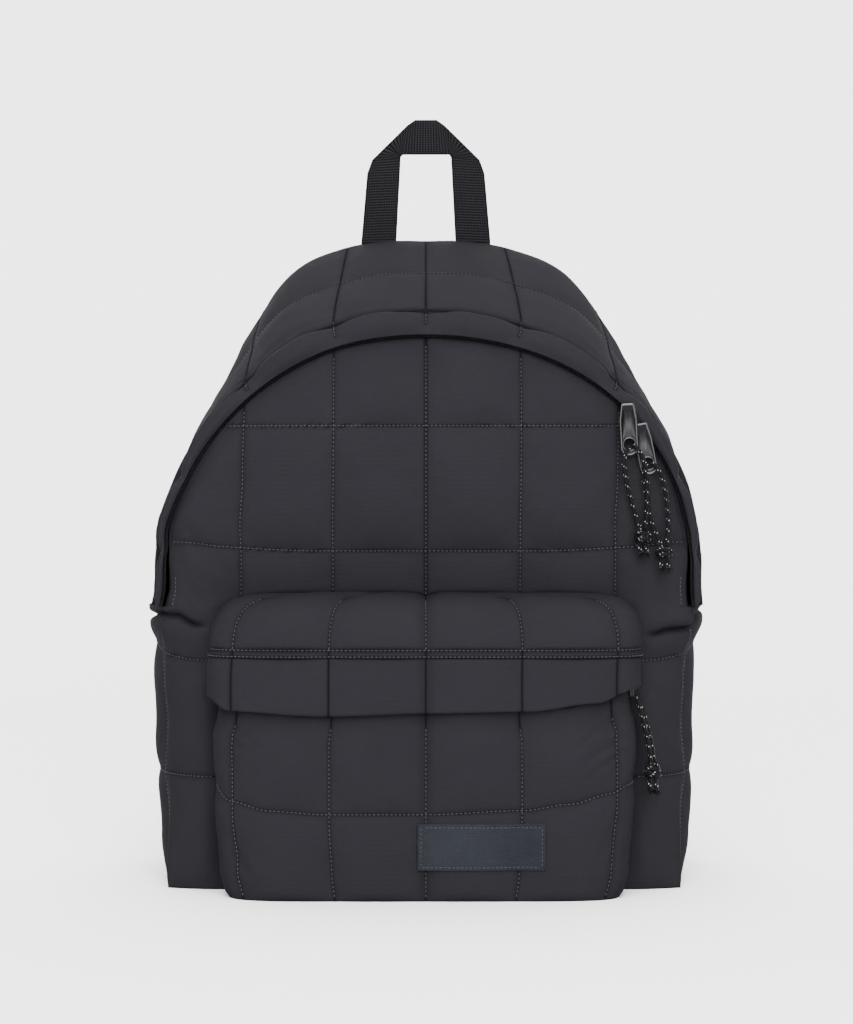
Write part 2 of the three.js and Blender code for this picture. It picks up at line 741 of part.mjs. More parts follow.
function pocketFlap() {
  return paddedSheet(pocketTurns, [1, 0.66, 0.33, 0], flapPoint, {
    wallAt: flapWall,
    puff: (turn, row, point) => pocketQuilt(turn, point) * lobe(row) * flapPuff,
    keep: keepPocketClear,
  });
}

function pocketZipper() {
  const thickness = 1.2;
  const base = -pocketRecess;
  const low = pocketTopHeight + gap;
  const high = pocketSeamHeight - 2;
  return paddedSheet(pocketTurns, [low, high], (turn, height) => pocketPoint(turn, height, base), {
    wallAt: thickness,
    keep: keepPocketClear,
  });
}

function pocketSlider() {
  const inner = pocketHalfWidth - pocketRecess + gap;
  const outer = pocketHalfWidth + flapReach - flapWall - gap;
  const middle = (inner + outer) / 2;
  const geometry = new THREE.BoxGeometry(outer - inner, pocketSliderWidth, pocketSliderHeight);
  const mesh = piece('pocket_slider', geometry, metal());
  mesh.position.set(middle, -frontDepth - pocketDepth / 2, pocketTopHeight + pocketSliderHeight / 2 + 4);
  return mesh;
}

function labelPatch() {
  const columns = steps(labelLeft, labelLeft + labelWidth, 8);
  const rows = steps(labelLow, labelLow + labelHeight, 3);
  const seam = pocketQuiltHeight / pocketTopHeight;
  const at = (x, height) => {
    const share = Math.abs(x) / pocketHalfWidth;
    const y = -frontDepth - gap - pocketDepth * (1 - share ** pocketPower) ** (1 / pocketPower);
    const row = rowLobe(height / pocketTopHeight, [0, seam, 1]);
    const puff = pocketPuff * columnLobe(Math.abs(x), quiltPitch) * row;
    return new THREE.Vector3(x, y - puff - labelSeat - labelThickness, height);
  };
  return paddedSheet(columns, rows, at, { wallAt: labelThickness });
}

// The handle stands in one plane: two legs, two slanting shoulders and a short level top. across is
// a share of the leg's half width, up a share of the rise, both for the outer or the inner edge.
const HANDLE_OUTER = [
  { across: 1, up: 0 },
  { across: 0.91, up: 0.557 },
  { across: 0.833, up: 0.67 },
  { across: 0.286, up: 0.956 },
  { across: 0.167, up: 1 },
];
const HANDLE_INNER = [
  { across: 1, up: 0 },
  { across: 0.854, up: 0.97 },
  { across: 0.79, up: 1 },
];

function handleEdge(rows, halfWidth, rise) {
  const right = rows.map((row) => [halfWidth * row.across, bagHeight + gap + rise * row.up]);
  const left = right.slice().reverse().map(([x, z]) => [-x, z]);
  return [...right, ...left];
}

function grabHandle() {
  const outer = handleEdge(HANDLE_OUTER, handleHalfWidth, handleRise);
  const inner = handleEdge(HANDLE_INNER, handleHalfWidth - webbingWidth, handleRise - webbingWidth);
  return plate(shapeOf([...outer, ...inner.reverse()]), rearDepth + gap + handleSetBack, webbingThickness);
}

// Carrying straps behind the back panel. The routes give the middle of the inner face: across is
// a share of bagHalfWidth, off a share of strapStandOff, up a share of bagHeight.
const STRAP_ROUTE = [
  { across: 0.22, off: -0.058, up: 0.925 },
  { across: 0.265, off: 0.31, up: 0.87 },
  { across: 0.34, off: 0.77, up: 0.76 },
  { across: 0.425, off: 1, up: 0.615 },
  { across: 0.5, off: 0.92, up: 0.46 },
  { across: 0.55, off: 0.615, up: 0.32 },
  { across: 0.585, off: 0.308, up: 0.212 },
];
const WEBBING_ROUTE = [
  { across: 0.598, off: 0.308, up: 0.153 },
  { across: 0.64, off: 0.154, up: 0.1 },
  { across: 0.7, off: 0, up: 0.045 },
];

function strapPlace(side, row) {
  const y = rearDepth + gap + backPadding + gap + row.off * strapStandOff;
  return new THREE.Vector3(side * row.across * bagHalfWidth, y, row.up * bagHeight);
}

// Where the buckle lies on a strap, and the heights that the strap and the webbing stop at
const BUCKLE_PLACE = { across: 0.59, off: 0.308, up: 0.1825 };
const strapFoot = BUCKLE_PLACE.up * bagHeight + buckleHeight / 2 + gap;
const webbingTop = BUCKLE_PLACE.up * bagHeight - buckleHeight / 2 - gap;

function ribbon(side, route, width, thickness, stepCount, padded) {
  const curve = new THREE.CatmullRomCurve3(route.map((row) => strapPlace(side, row)), false, 'centripetal');
  const places = steps(0, 1, stepCount);
  const across = [1, 0.5, 0, -0.5, -1];
  const rear = rearDepth + 2 * gap + backPadding;
  const at = (place, share) => {
    const point = curve.getPoint(place);
    const tangent = curve.getTangent(place);
    const sideways = new THREE.Vector3(tangent.z, 0, -tangent.x).normalize();
    const narrow = padded ? 1 - 0.35 * smooth(0.8, 1, place) : 1;
    const face = point.addScaledVector(sideways, -share * width * narrow / 2);
    face.z = padded ? Math.max(face.z, strapFoot) : Math.min(face.z, webbingTop);
    return face.setY(face.y + thickness);
  };
  return paddedSheet(places, across, at, {
    wallAt: thickness,
    keep: (point) => {
      point.y = Math.max(point.y, rear);
      point.z = padded ? Math.max(point.z, strapFoot) : Math.min(point.z, webbingTop);
      return point;
    },
  });
}

function shoulderStrap(side) {
  return ribbon(side, STRAP_ROUTE, strapWidth, strapThickness, 14, true);
}

function strapWebbing(side) {
  return ribbon(side, WEBBING_ROUTE, lowerWebbingWidth, lowerWebbingThickness, 5, false);
}

function buckle(side) {
  const half = buckleWidth / 2;
  const low = -buckleHeight / 2;
  const frame = shapeOf([[-half, low], [half, low], [half, -low], [-half, -low]]);
  const slot = (from, to) => {
    const hole = new THREE.Path();
    hole.setFromPoints([[-half + 4, from], [-half + 4, to], [half - 4, to], [half - 4, from]]
      .map(([x, z]) => new THREE.Vector2(x, z)));
    return hole;
  };
  frame.holes.push(slot(low + 3, low + 9), slot(low + 13, low + 19));
  const geometry = plate(frame, 0, buckleThickness);
  const mesh = piece(`strap_buckle_${side > 0 ? 'right' : 'left'}`, geometry, cloth(blackColour));
  mesh.position.copy(strapPlace(side, BUCKLE_PLACE));
  return mesh;
}

const bag = new THREE.Group();
bag.add(
  piece('back_panel', backPanel(), cloth(clothColour)),
  piece('main_gusset', mainGusset(), cloth(clothColour)),
  piece('front_panel', frontPanel(), cloth(clothColour)),
  piece('base_panel', basePanel(), cloth(clothColour)),
  piece('main_zipper', mainZipper(), cloth(blackColour)),
  ...PULLS.map(slider),
  ...PULLS.map(pullTab),
  ...CORDS.map(cord),
  ...KNOTS.map(knot),
  piece('pocket_front', pocketFront(), cloth(clothColour)),
  piece('pocket_base', pocketBase(), cloth(clothColour)),
  piece('pocket_hood', pocketHood(), cloth(clothColour)),
  piece('pocket_flap', pocketFlap(), cloth(clothColour)),
  piece('pocket_zipper', pocketZipper(), cloth(blackColour)),
  pocketSlider(),
  piece('label_patch', labelPatch(), cloth(0x3b3d42)),
  piece('grab_handle', grabHandle(), cloth(blackColour)),
);
for (const side of [-1, 1]) {
  const name = side > 0 ? 'right' : 'left';
  bag.add(
    piece(`shoulder_strap_${name}`, shoulderStrap(side), cloth(clothColour)),
    piece(`strap_webbing_${name}`, strapWebbing(side), cloth(blackColour)),
    buckle(side),
  );
}

// The origin is at the middle of the footprint
bag.updateMatrixWorld(true);
const box = new THREE.Box3().setFromObject(bag);
bag.position.set(-(box.min.x + box.max.x) / 2, -(box.min.y + box.max.y) / 2, -box.min.z);

export default bag;
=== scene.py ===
"""The looks of a quilted backpack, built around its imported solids.

Every soft piece is a padded shell with its quilting, stitches and folds in the mesh, and the zip pulls are
braided cords and pressed metal tabs.
"""
import math

import bpy
import numpy as np
from bpy.props import FloatProperty, FloatVectorProperty, IntProperty, PointerProperty
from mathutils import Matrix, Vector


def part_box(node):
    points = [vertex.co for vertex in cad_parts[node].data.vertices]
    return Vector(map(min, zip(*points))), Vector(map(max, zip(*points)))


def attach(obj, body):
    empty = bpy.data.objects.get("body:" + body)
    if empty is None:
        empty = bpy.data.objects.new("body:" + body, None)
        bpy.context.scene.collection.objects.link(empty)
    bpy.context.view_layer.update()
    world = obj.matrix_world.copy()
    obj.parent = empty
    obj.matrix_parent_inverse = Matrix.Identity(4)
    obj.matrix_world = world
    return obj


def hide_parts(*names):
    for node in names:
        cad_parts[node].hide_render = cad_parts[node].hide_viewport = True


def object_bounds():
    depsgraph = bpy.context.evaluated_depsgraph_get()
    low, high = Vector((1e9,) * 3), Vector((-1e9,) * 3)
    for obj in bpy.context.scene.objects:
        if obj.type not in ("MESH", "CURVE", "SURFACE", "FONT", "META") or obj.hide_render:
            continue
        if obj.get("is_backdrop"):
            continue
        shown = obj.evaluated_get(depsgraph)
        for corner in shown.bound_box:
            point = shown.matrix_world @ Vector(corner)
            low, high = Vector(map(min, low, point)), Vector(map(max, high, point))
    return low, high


bl_info = {
    "name": "Quilted Backpack",
    "version": (1, 0, 0),
    "blender": (4, 5, 0),
    "location": "View3D > Sidebar > Backpack",
    "description": "Builds a quilted backpack around its packed solids",
    "category": "Add Mesh",
}

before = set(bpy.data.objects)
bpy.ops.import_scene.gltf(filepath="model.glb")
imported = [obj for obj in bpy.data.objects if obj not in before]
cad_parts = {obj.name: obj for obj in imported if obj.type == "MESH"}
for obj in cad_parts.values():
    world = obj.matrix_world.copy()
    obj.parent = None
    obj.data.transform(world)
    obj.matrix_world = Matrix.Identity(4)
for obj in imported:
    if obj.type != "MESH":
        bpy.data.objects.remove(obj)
CAD_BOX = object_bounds()
MM = 0.001
BODY = "root"

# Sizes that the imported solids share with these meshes, in millimetres
BACK_LOW, BACK_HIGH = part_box("back_panel")
FRONT_DEPTH = 50.0
REAR_DEPTH = 82.0
SEAT = 0.3
SHIFT_Y = BACK_LOW.y / MM - REAR_DEPTH - SEAT
BAG_HEIGHT = BACK_HIGH.z / MM
BAG_HALF_WIDTH = 167.0
BACK_PADDING = 8.0
BASE_THICKNESS = 5.0
ZIP_END = 168.0
ARCH_RISE = 161.0
ARCH_HALF = 160.0
ARCH_POWER = 2.15
FLAT_HALF = 126.0
CORNER_REACH = 29.5
CORNER_DEPTH = 55.0
SHARP_SET_BACK = 3.0
REAR_REACH = 0.945
ZIP_TURN = 1.5
FRONT_DOME = 8.0
ZIP_SEAM = 2.5
PANEL_GAP = 1.5
LIP_FORWARD = 5.0
CROWN_SWELL = 14.0
END_SWELL = 2.5
SIDE_BELLY = 5.0
SWELL_FADE = 2.6
POCKET_HALF = 121.5
POCKET_DEPTH = 44.0
POCKET_POWER = 6.0
POCKET_SEAM = 142.0
POCKET_TOP = 112.0
POCKET_QUILT = 50.0
POCKET_RECESS = 4.0
HOOD_RISE = 32.0
HOOD_ROUND = 0.42
HOOD_CORNER = 0.12
HOOD_OVERLAP = 2.3
FLAP_REACH = 3.5
FLAP_DROP = 34.0
FLAP_END_LIFT = 11.0
QUILT_ROWS = (0.0, 67.0, 136.0, 201.0, 275.0, 345.0)


def length_setting(name, description, metres):
    return FloatProperty(name=name, description=description, default=metres, unit="LENGTH")


def colour_setting(name, description, shade):
    return FloatVectorProperty(name=name, description=description, default=shade, subtype="COLOR", size=3)


class BackpackSizes(bpy.types.PropertyGroup):
    """Sizes of the cloth's relief and of the stitches"""
    grid: length_setting("Grid", "Spacing of the mesh over the cloth", 0.0021)
    pitch: length_setting("Quilt pitch", "Distance between stitch columns", 0.0555)
    puff: length_setting("Puff", "How far a quilted cell stands up", 0.0036)
    wall: length_setting("Wall", "Thickness of the padded cloth", 0.005)
    stitch: length_setting("Stitch", "Length of one stitch", 0.0017)
    stitch_gap: length_setting("Stitch gap", "Gap between stitches", 0.0008)
    thread: length_setting("Thread", "Thread radius", 0.0003)
    cord: length_setting("Cord", "Diameter of the pull cords", 0.0025)
    seed: IntProperty(name="Seed", description="Seed of the folds and flecks", default=7)


class BackpackColours(bpy.types.PropertyGroup):
    """Colours of the cloth, thread, cord and metal"""
    cloth: colour_setting("Cloth", "Quilted cloth", (0.0098, 0.0094, 0.0113))
    thread: colour_setting("Thread", "Stitching", (0.034, 0.033, 0.037))
    webbing: colour_setting("Webbing", "Handle and strap webbing", (0.0027, 0.0026, 0.0031))
    cord: colour_setting("Cord", "Pull cords", (0.004, 0.004, 0.0045))
    fleck: colour_setting("Fleck", "Light threads in the cords", (0.42, 0.42, 0.40))
    metal: colour_setting("Metal", "Zip tabs", (0.010, 0.010, 0.0104))
    label: colour_setting("Label", "Woven patch", (0.0110, 0.0119, 0.0146))
    floor: colour_setting("Floor", "Floor and backdrop", (0.83, 0.83, 0.83))


def sizes():
    return bpy.context.scene.backpack_sizes


def colours():
    return bpy.context.scene.backpack_colours


# Small number helpers

def hump(distance, width):
    """1 at no distance, and less the farther off."""
    return np.exp(-(distance / width) ** 2)


def unit(vectors):
    return vectors / np.maximum(np.linalg.norm(vectors, axis=-1, keepdims=True), 1e-9)


def distances(points):
    """How far along a path each of its points lies."""
    return np.concatenate([[0], np.cumsum(np.linalg.norm(np.diff(points, axis=0), axis=1))])


def sample(values, along, places):
    """Rows of values at these places, where the given rows lie at the distances along."""
    return np.stack([np.interp(places, along, values[:, k]) for k in range(values.shape[1])], -1)


def spread_evenly(values, points, count):
    """Values at even distances along the path of their points."""
    along = distances(points)
    return np.interp(np.linspace(0, along[-1], count), along, values)


def turned(points, degrees):
    """Points turned about the Y axis."""
    cos = math.cos(math.radians(degrees))
    sin = math.sin(math.radians(degrees))
    return points @ np.array([[cos, 0, sin], [0, 1, 0], [-sin, 0, cos]]).T


def ring_faces(low, high, count):
    """Faces between two closed rings of points, which start at these indices."""
    return [(low + i, low + (i + 1) % count, high + (i + 1) % count, high + i) for i in range(count)]


def smooth(low, high, at):
    share = np.clip((np.asarray(at, float) - low) / (high - low), 0.0, 1.0)
    return share * share * (3 - 2 * share)


def by_height(rows, at, column):
    """A smooth value out of a short table of (place, value, value ...) rows."""
    at = np.asarray(at, float)
    places = np.array([row[0] for row in rows])
    values = np.array([row[column] for row in rows])
    i = np.clip(np.searchsorted(places, at) - 1, 0, len(rows) - 2)
    share = np.clip((at - places[i]) / (places[i + 1] - places[i]), 0, 1)
    return values[i] + (values[i + 1] - values[i]) * share * share * (3 - 2 * share)


def spline(values, at):
    """Catmull-Rom through evenly spaced values, at places from 0 to the last index."""
    values = np.asarray(values, float)
    at = np.clip(np.asarray(at, float), 0, len(values) - 1)
    i = np.minimum(at.astype(int), len(values) - 2)
    t = at - i
    p0 = values[np.maximum(i - 1, 0)]
    p1 = values[i]
    p2 = values[i + 1]
    p3 = values[np.minimum(i + 2, len(values) - 1)]
    return 0.5 * (2 * p1 + (p2 - p0) * t + (2 * p0 - 5 * p1 + 4 * p2 - p3) * t ** 2
                  + (3 * p1 - p0 - 3 * p2 + p3) * t ** 3)


def noise(a, b, scale, seed):
    """Smooth value noise from -1 to 1 over two cloth coordinates in millimetres."""
    rng = np.random.default_rng(seed)
    lattice = rng.uniform(-1, 1, (64, 64))
    x = np.asarray(a, float) / scale + 1000.37
    y = np.asarray(b, float) / scale + 1000.71
    i = np.floor(x).astype(int)
    j = np.floor(y).astype(int)
    u = x - i
    v = y - j
    u = u * u * u * (u * (6 * u - 15) + 10)
    v = v * v * v * (v * (6 * v - 15) + 10)
    corner = lambda di, dj: lattice[(i + di) % 64, (j + dj) % 64]
    low = corner(0, 0) * (1 - u) + corner(1, 0) * u
    high = corner(0, 1) * (1 - u) + corner(1, 1) * u
    return low * (1 - v) + high * v


def ripples(a, b, angle, wave, stretch, seed):
    """Fine wrinkles that run along one direction: noise squeezed across it."""
    turn = math.radians(angle)
    along = a * math.cos(turn) + b * math.sin(turn)
    across = -a * math.sin(turn) + b * math.cos(turn)
    return noise(along / stretch, across, wave, seed)


# The bag's forms, in the same numbers as its solids

# The side by height: share of the zip's end, share of the half width, and how square the corner is
SIDE_ROWS = (
    (0.0, 0.94, 0.75), (0.17, 0.958, 0.35), (0.35, 0.968, 0.1), (0.55, 0.977, 0.1), (0.8, 0.99, 0.4),
    (1.0, 1.0, 1.0),
)


def wall_point(turn, height, inset=0.0):
    """The wall below the zip's ends: turn is 0 in front, 1 to 2 round the corner and 3 at the back."""
    turn, height = np.broadcast_arrays(np.asarray(turn, float), np.asarray(height, float))
    up = height / ZIP_END
    side = BAG_HALF_WIDTH * by_height(SIDE_ROWS, up, 1) - inset
    square = by_height(SIDE_ROWS, up, 2)
    way = np.abs(turn)
    front = -FRONT_DEPTH + inset
    side_start = CORNER_DEPTH - FRONT_DEPTH
    angle = np.clip(way - 1, 0, 1) * np.pi / 2
    round_x = FLAT_HALF + (side - FLAT_HALF) * np.sin(angle)
    round_y = side_start + (front - side_start) * np.cos(angle)
    tip_x = FLAT_HALF + CORNER_REACH - inset
    tip_y = front + SHARP_SET_BACK
    first = np.clip((way - 1) / (ZIP_TURN - 1), 0, 1)
    second = np.clip((way - ZIP_TURN) / (2 - ZIP_TURN), 0, 1)
    before = way <= ZIP_TURN
    sharp_x = np.where(before, FLAT_HALF + (tip_x - FLAT_HALF) * first, tip_x + (side - tip_x) * second)
    sharp_y = np.where(before, front + (tip_y - front) * first, tip_y + (side_start - tip_y) * second)
    x = np.where(way <= 1, way * FLAT_HALF, round_x + (sharp_x - round_x) * square)
    y = np.where(way <= 1, front, round_y + (sharp_y - round_y) * square)
    back = np.clip(way - 2, 0, 1)
    x = np.where(way > 2, side - BAG_HALF_WIDTH * (1 - REAR_REACH) * back ** 2, x)
    y = np.where(way > 2, side_start + (REAR_DEPTH - side_start) * back, y)
    return np.stack([np.sign(turn) * x, y, height], -1)


WALL_TURNS = np.linspace(0, 3, 301)
WALL_LENGTHS = distances(wall_point(np.maximum(WALL_TURNS, 1e-6), ZIP_END * 0.5))


def wall_length(turn):
    return np.sign(turn) * np.interp(np.abs(turn), WALL_TURNS, WALL_LENGTHS)


def wall_turn(length):
    return np.sign(length) * np.interp(np.abs(length), WALL_LENGTHS, WALL_TURNS)


def arch_reach(x, z, grow=0.0):
    across = (np.abs(x) / (ARCH_HALF + grow)) ** ARCH_POWER
    up = (np.maximum(z - ZIP_END, 0) / (ARCH_RISE + grow)) ** ARCH_POWER
    return (across + up) ** (1 / ARCH_POWER)


def arch_point(angle, grow=0.0):
    turn = np.radians(np.abs(angle))
    x = (ARCH_HALF + grow) * np.sin(turn) ** (2 / ARCH_POWER)
    z = ZIP_END + (ARCH_RISE + grow) * np.maximum(np.cos(turn), 0) ** (2 / ARCH_POWER)
    return np.stack([np.sign(angle) * x, z], -1)


def front_point(turn, row):
    turn, row = np.broadcast_arrays(np.asarray(turn, float), np.asarray(row, float))
    low = wall_point(turn, np.clip(row, 0, 1) * ZIP_END)
    foot = wall_point(turn, ZIP_END)
    share = np.clip(row - 1, 0, 1)
    across = np.minimum(np.abs(foot[..., 0]) / (ARCH_HALF - PANEL_GAP), 1)
    rise = (ARCH_RISE - PANEL_GAP) * (1 - across ** ARCH_POWER) ** (1 / ARCH_POWER)
    spread = 1 - (np.abs(foot[..., 0]) / ARCH_HALF) ** 2
    dome = FRONT_DOME * spread * smooth(0.06, 0.45, share) * (1 - smooth(0.72, 1, share))
    high = np.stack([foot[..., 0], foot[..., 1] - dome, ZIP_END + rise * share], -1)
    return np.where((row > 1)[..., None], high, low)


# The back's outline: angle, share of the half width, and share of the rise above the zip's ends
BACK_ROWS = (
    (0, 0, 1), (9.5, 0.16, 0.999), (19, 0.33, 0.977), (30, 0.498, 0.922), (41, 0.64, 0.795),
    (53, 0.765, 0.61), (66, 0.87, 0.42), (78, 0.93, 0.2), (90, REAR_REACH, 0),
)


def back_point(angle):
    place = np.interp(np.abs(angle), [row[0] for row in BACK_ROWS], np.arange(len(BACK_ROWS)))
    x = BAG_HALF_WIDTH * spline([row[1] for row in BACK_ROWS], place)
    z = ZIP_END + (BAG_HEIGHT - ZIP_END) * spline([row[2] for row in BACK_ROWS], place)
    return np.stack([np.sign(angle) * x, z], -1)


# back, blend, swell and belly of the band's section, from the lip to the back panel
GUSSET_ROWS = np.array((
    (-1, 0, 0, 0), (-0.8, 0, 0.44, 0), (0.015, 0.01, 0.82, 0), (0.105, 0.06, 1, 0.12),
    (0.3, 0.25, 0.9, 0.6), (0.53, 0.48, 0.66, 1), (0.76, 0.73, 0.36, 0.7), (1, 1, 0, 0),
))


def gusset_point(angle, row):
    angle, row = np.broadcast_arrays(np.asarray(angle, float), np.asarray(row, float))
    back, blend, swell_share, belly_share = (spline(GUSSET_ROWS[:, k], row) for k in range(4))
    lip = arch_point(angle)
    rear = back_point(angle)
    turn = np.radians(angle)
    swell = (END_SWELL + (CROWN_SWELL - END_SWELL) * np.maximum(np.cos(turn), 0) ** SWELL_FADE) * swell_share
    belly = SIDE_BELLY * np.sin(turn) ** 4 * belly_share
    step = arch_point(angle + 1) - arch_point(angle - 1)
    outward = unit(np.stack([-step[..., 1], step[..., 0]], -1))
    foot = lip + (rear - lip) * blend[..., None] + outward * (swell + belly)[..., None]
    depth = np.where(back < 0, back * LIP_FORWARD, back * (FRONT_DEPTH + REAR_DEPTH))
    return np.stack([foot[..., 0], -FRONT_DEPTH + depth, np.maximum(foot[..., 1], ZIP_END + SEAT)], -1)


def pocket_point(turn, height, out):
    turn, height = np.broadcast_arrays(np.asarray(turn, float), np.asarray(height, float))
    angle = turn * np.pi / 2
    rounding = 2 / POCKET_POWER
    x = np.sign(turn) * (POCKET_HALF + out) * np.abs(np.sin(angle)) ** rounding
    y = -FRONT_DEPTH - SEAT - (POCKET_DEPTH + out) * np.maximum(np.cos(angle), 0) ** rounding
    return np.stack([x, y, height + 0 * x], -1)


# The pocket's width: share of its height, share of its half width
POCKET_ROWS = ((0, 0.94), (0.14, 0.97), (0.4, 1), (0.8, 1), (1, 0.965))
# Its upper edge runs up at both ends, behind the flap: place across, rise
POCKET_EDGE = ((-125, 7), (-104, 3), (-80, 0), (84, 0), (104, 6), (119, 14.5), (125, 16))
# Its cross stitch line runs up towards both ends: place across, rise
POCKET_LIFT = (
    (-125, 17), (-112, 7), (-90, 2), (-58, 0), (0, 0), (56, 2.4), (84, 6), (107, 11.6), (118, 16), (125, 18),
)


def pocket_lift(turn, row):
    level = POCKET_QUILT / POCKET_TOP
    window = smooth(0.05, level, row) * (1 - smooth(level, 0.95, row))
    return by_height(POCKET_LIFT, pocket_point(turn, 0.0, 0.0)[..., 0], 1) * window


def pocket_front_point(turn, row):
    reach = by_height(POCKET_ROWS, row, 1)
    top = smooth(0.8, 1, row)
    edge = by_height(POCKET_EDGE, pocket_point(turn, 0.0, 0.0)[..., 0], 1)
    height = np.asarray(row) * POCKET_TOP + edge * smooth(0.75, 1, row) + pocket_lift(turn, row)
    point = pocket_point(turn, height, -0.8 * POCKET_RECESS * top)
    point[..., 0] *= reach + (1 - reach) * top
    return point


def hood_point(turn, rise):
    turn, rise = np.broadcast_arrays(np.asarray(turn, float), np.asarray(rise, float))
    angle = rise * np.pi / 2
    level = np.maximum(np.cos(angle), 1e-9)
    draw = np.where(rise < 1, level ** HOOD_ROUND, 0.3)
    narrow = np.where(rise < 1, level ** HOOD_CORNER, 0.3)
    edge = pocket_point(turn, POCKET_SEAM + SEAT - HOOD_OVERLAP, FLAP_REACH)
    back = -FRONT_DEPTH - SEAT
    y = np.where(rise < 1, (edge[..., 1] - back) * draw + back, back)
    z = edge[..., 2] + (HOOD_RISE + HOOD_OVERLAP) * np.sin(angle) ** 0.8
    return np.stack([edge[..., 0] * narrow, y, z], -1)


# The flap's lower edge: how far it hangs below the seam at these places across the pocket
FLAP_EDGE = (
    (-125, 25), (-113, 32.4), (-57, 35.2), (-1, 33.5), (59, 32.4), (99, 27.8), (121, 20.5), (125, 19),
)


def flap_point(turn, row):
    across = pocket_point(turn, 0.0, FLAP_REACH)[..., 0]
    drop = HOOD_OVERLAP + (by_height(FLAP_EDGE, across, 1) - HOOD_OVERLAP) * row
    return pocket_point(turn, POCKET_SEAM - drop, FLAP_REACH)


# The filled bag leans a little, and its sides draw in where the cloth is slack. By height: how far the
# sides stand to the right of the middle line, and how far each draws in.
LEAN_ROWS = (
    (0, -0.9, 0.8), (45, -0.6, 1.2), (68, -0.6, -0.6), (95, -0.9, 2.0), (125, -1.2, 1.8), (155, 0, 0),
    (180, 1.3, 2.6), (200, 1.5, 1.2), (215, 0.9, -0.3), (245, 2.5, -0.5), (290, 3.2, 0.6), (312, 3.1, 0.6),
    (320, 3.0, 0), (335, 2.8, -1.8), (350, 2.6, -2.5), (375, 2.2, -2.0), (400, 0.5, 0),
)


def lean(points):
    across = np.abs(points[..., 0])
    height = points[..., 2]
    drawn = np.where(height > 320, smooth(50, 90, across), smooth(128, 155, across))
    points[..., 0] += by_height(LEAN_ROWS, height, 1) * smooth(30, 100, across) \
        - np.sign(points[..., 0]) * by_height(LEAN_ROWS, height, 2) * drawn
    return points


# Mesh making

def to_world(points):
    """Millimetres about the bag's middle line to metres in the row frame."""
    points = np.array(points, float)
    points[..., 1] += SHIFT_Y
    return points * MM


def into_scene(name, data):
    thing = bpy.data.objects.new(name, data)
    bpy.context.scene.collection.objects.link(thing)
    return thing


def new_object(name, points, faces, smooth_faces=True):
    mesh = bpy.data.meshes.new(name)
    mesh.from_pydata(to_world(points).tolist(), [], faces)
    mesh.polygons.foreach_set("use_smooth", [smooth_faces] * len(mesh.polygons))
    mesh.update()
    return into_scene(name, mesh)


def mark(piece, name, values):
    """Keeps one number for each point, which a material reads."""
    layer = piece.data.attributes.new(name, "FLOAT", "POINT")
    layer.data.foreach_set("value", np.asarray(values, np.float32))


def finish_piece(piece, material, slot, *nodes):
    piece.data.materials.append(material)
    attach(piece, BODY)
    if nodes:
        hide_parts(*nodes)
    return piece


class Cloth:
    """A sheet over two coordinates: its form, its relief, and the painted shade of its seams, creases and
    gaps.
    """

    def __init__(self, form, relief, shade=None):
        self.form = form
        self.relief = relief
        self.shade = shade

    def normal(self, u, v, du=0.004, dv=0.004):
        across = self.form(u + du, v) - self.form(u - du, v)
        upward = self.form(u, v + dv) - self.form(u, v - dv)
        return unit(np.cross(across, upward))

    def point(self, u, v, lift=0.0):
        base = self.form(u, v)
        return base + self.normal(u, v) * (self.relief(u, v, base) + lift)[..., None]


def shell_faces(present):
    """Faces of a closed shell over these grid cells: its outer side, its inner side and its edge."""
    ni, nj = np.array(present.shape) + 1
    count = ni * nj
    index = np.arange(count).reshape(ni, nj)
    sheet = np.stack([index[:-1, :-1], index[1:, :-1], index[1:, 1:], index[:-1, 1:]], -1)[present]
    faces = [sheet, sheet[:, ::-1] + count]
    padded = np.pad(present, 1)
    for di, dj, (p, q) in ((0, -1, ((0, 0), (1, 0))), (1, 0, ((1, 0), (1, 1))),
                           (0, 1, ((1, 1), (0, 1))), (-1, 0, ((0, 1), (0, 0)))):
        beyond = padded[1 + di:ni + di, 1 + dj:nj + dj]
        i, j = np.nonzero(present & ~beyond)
        start = index[i + p[0], j + p[1]]
        end = index[i + q[0], j + q[1]]
        faces.append(np.stack([end, start, start + count, end + count], -1))
    return np.concatenate(faces)


def shell(name, outer, inner, present=None, shade=None):
    """A closed padded shell from two grids of points, with an edge round the cells that are present."""
    if present is None:
        present = np.ones(np.array(outer.shape[:2]) - 1, bool)
    points = np.concatenate([outer.reshape(-1, 3), inner.reshape(-1, 3)])
    faces = shell_faces(present)
    used = np.unique(faces)
    renumber = np.full(len(points), -1)
    renumber[used] = np.arange(len(used))
    piece = new_object(name, points[used], renumber[faces].tolist())
    # The outer side's painted shade in stitch grooves, creases and gaps goes to the seam attribute; the inner
    # side gets none
    if shade is not None:
        mark(piece, "seam", np.concatenate([shade.ravel(), np.zeros(shade.size)])[used])
    return piece


def thread_row(points, normals):
    """Both ends of the single stitches along a line, and the ways that they face."""
    along = distances(points)
    pitch = (sizes().stitch + sizes().stitch_gap) / MM
    places = np.arange(pitch / 2, along[-1] - pitch / 2, pitch)
    if not len(places):
        return None
    half = sizes().stitch / MM / 2
    ahead = sample(points, along, places + half)
    behind = sample(points, along, places - half)
    return ahead, behind, unit(sample(normals, along, places))


# A stitch's rings: place along its half length, and share of the thread's radius
STITCH_RINGS = ((-1.0, 0.3), (-0.55, 1.0), (0.55, 1.0), (1.0, 0.3))
STITCH_SIDES = 5
# How far a stitch stands up from the cloth
STITCH_LIFT = 0.12


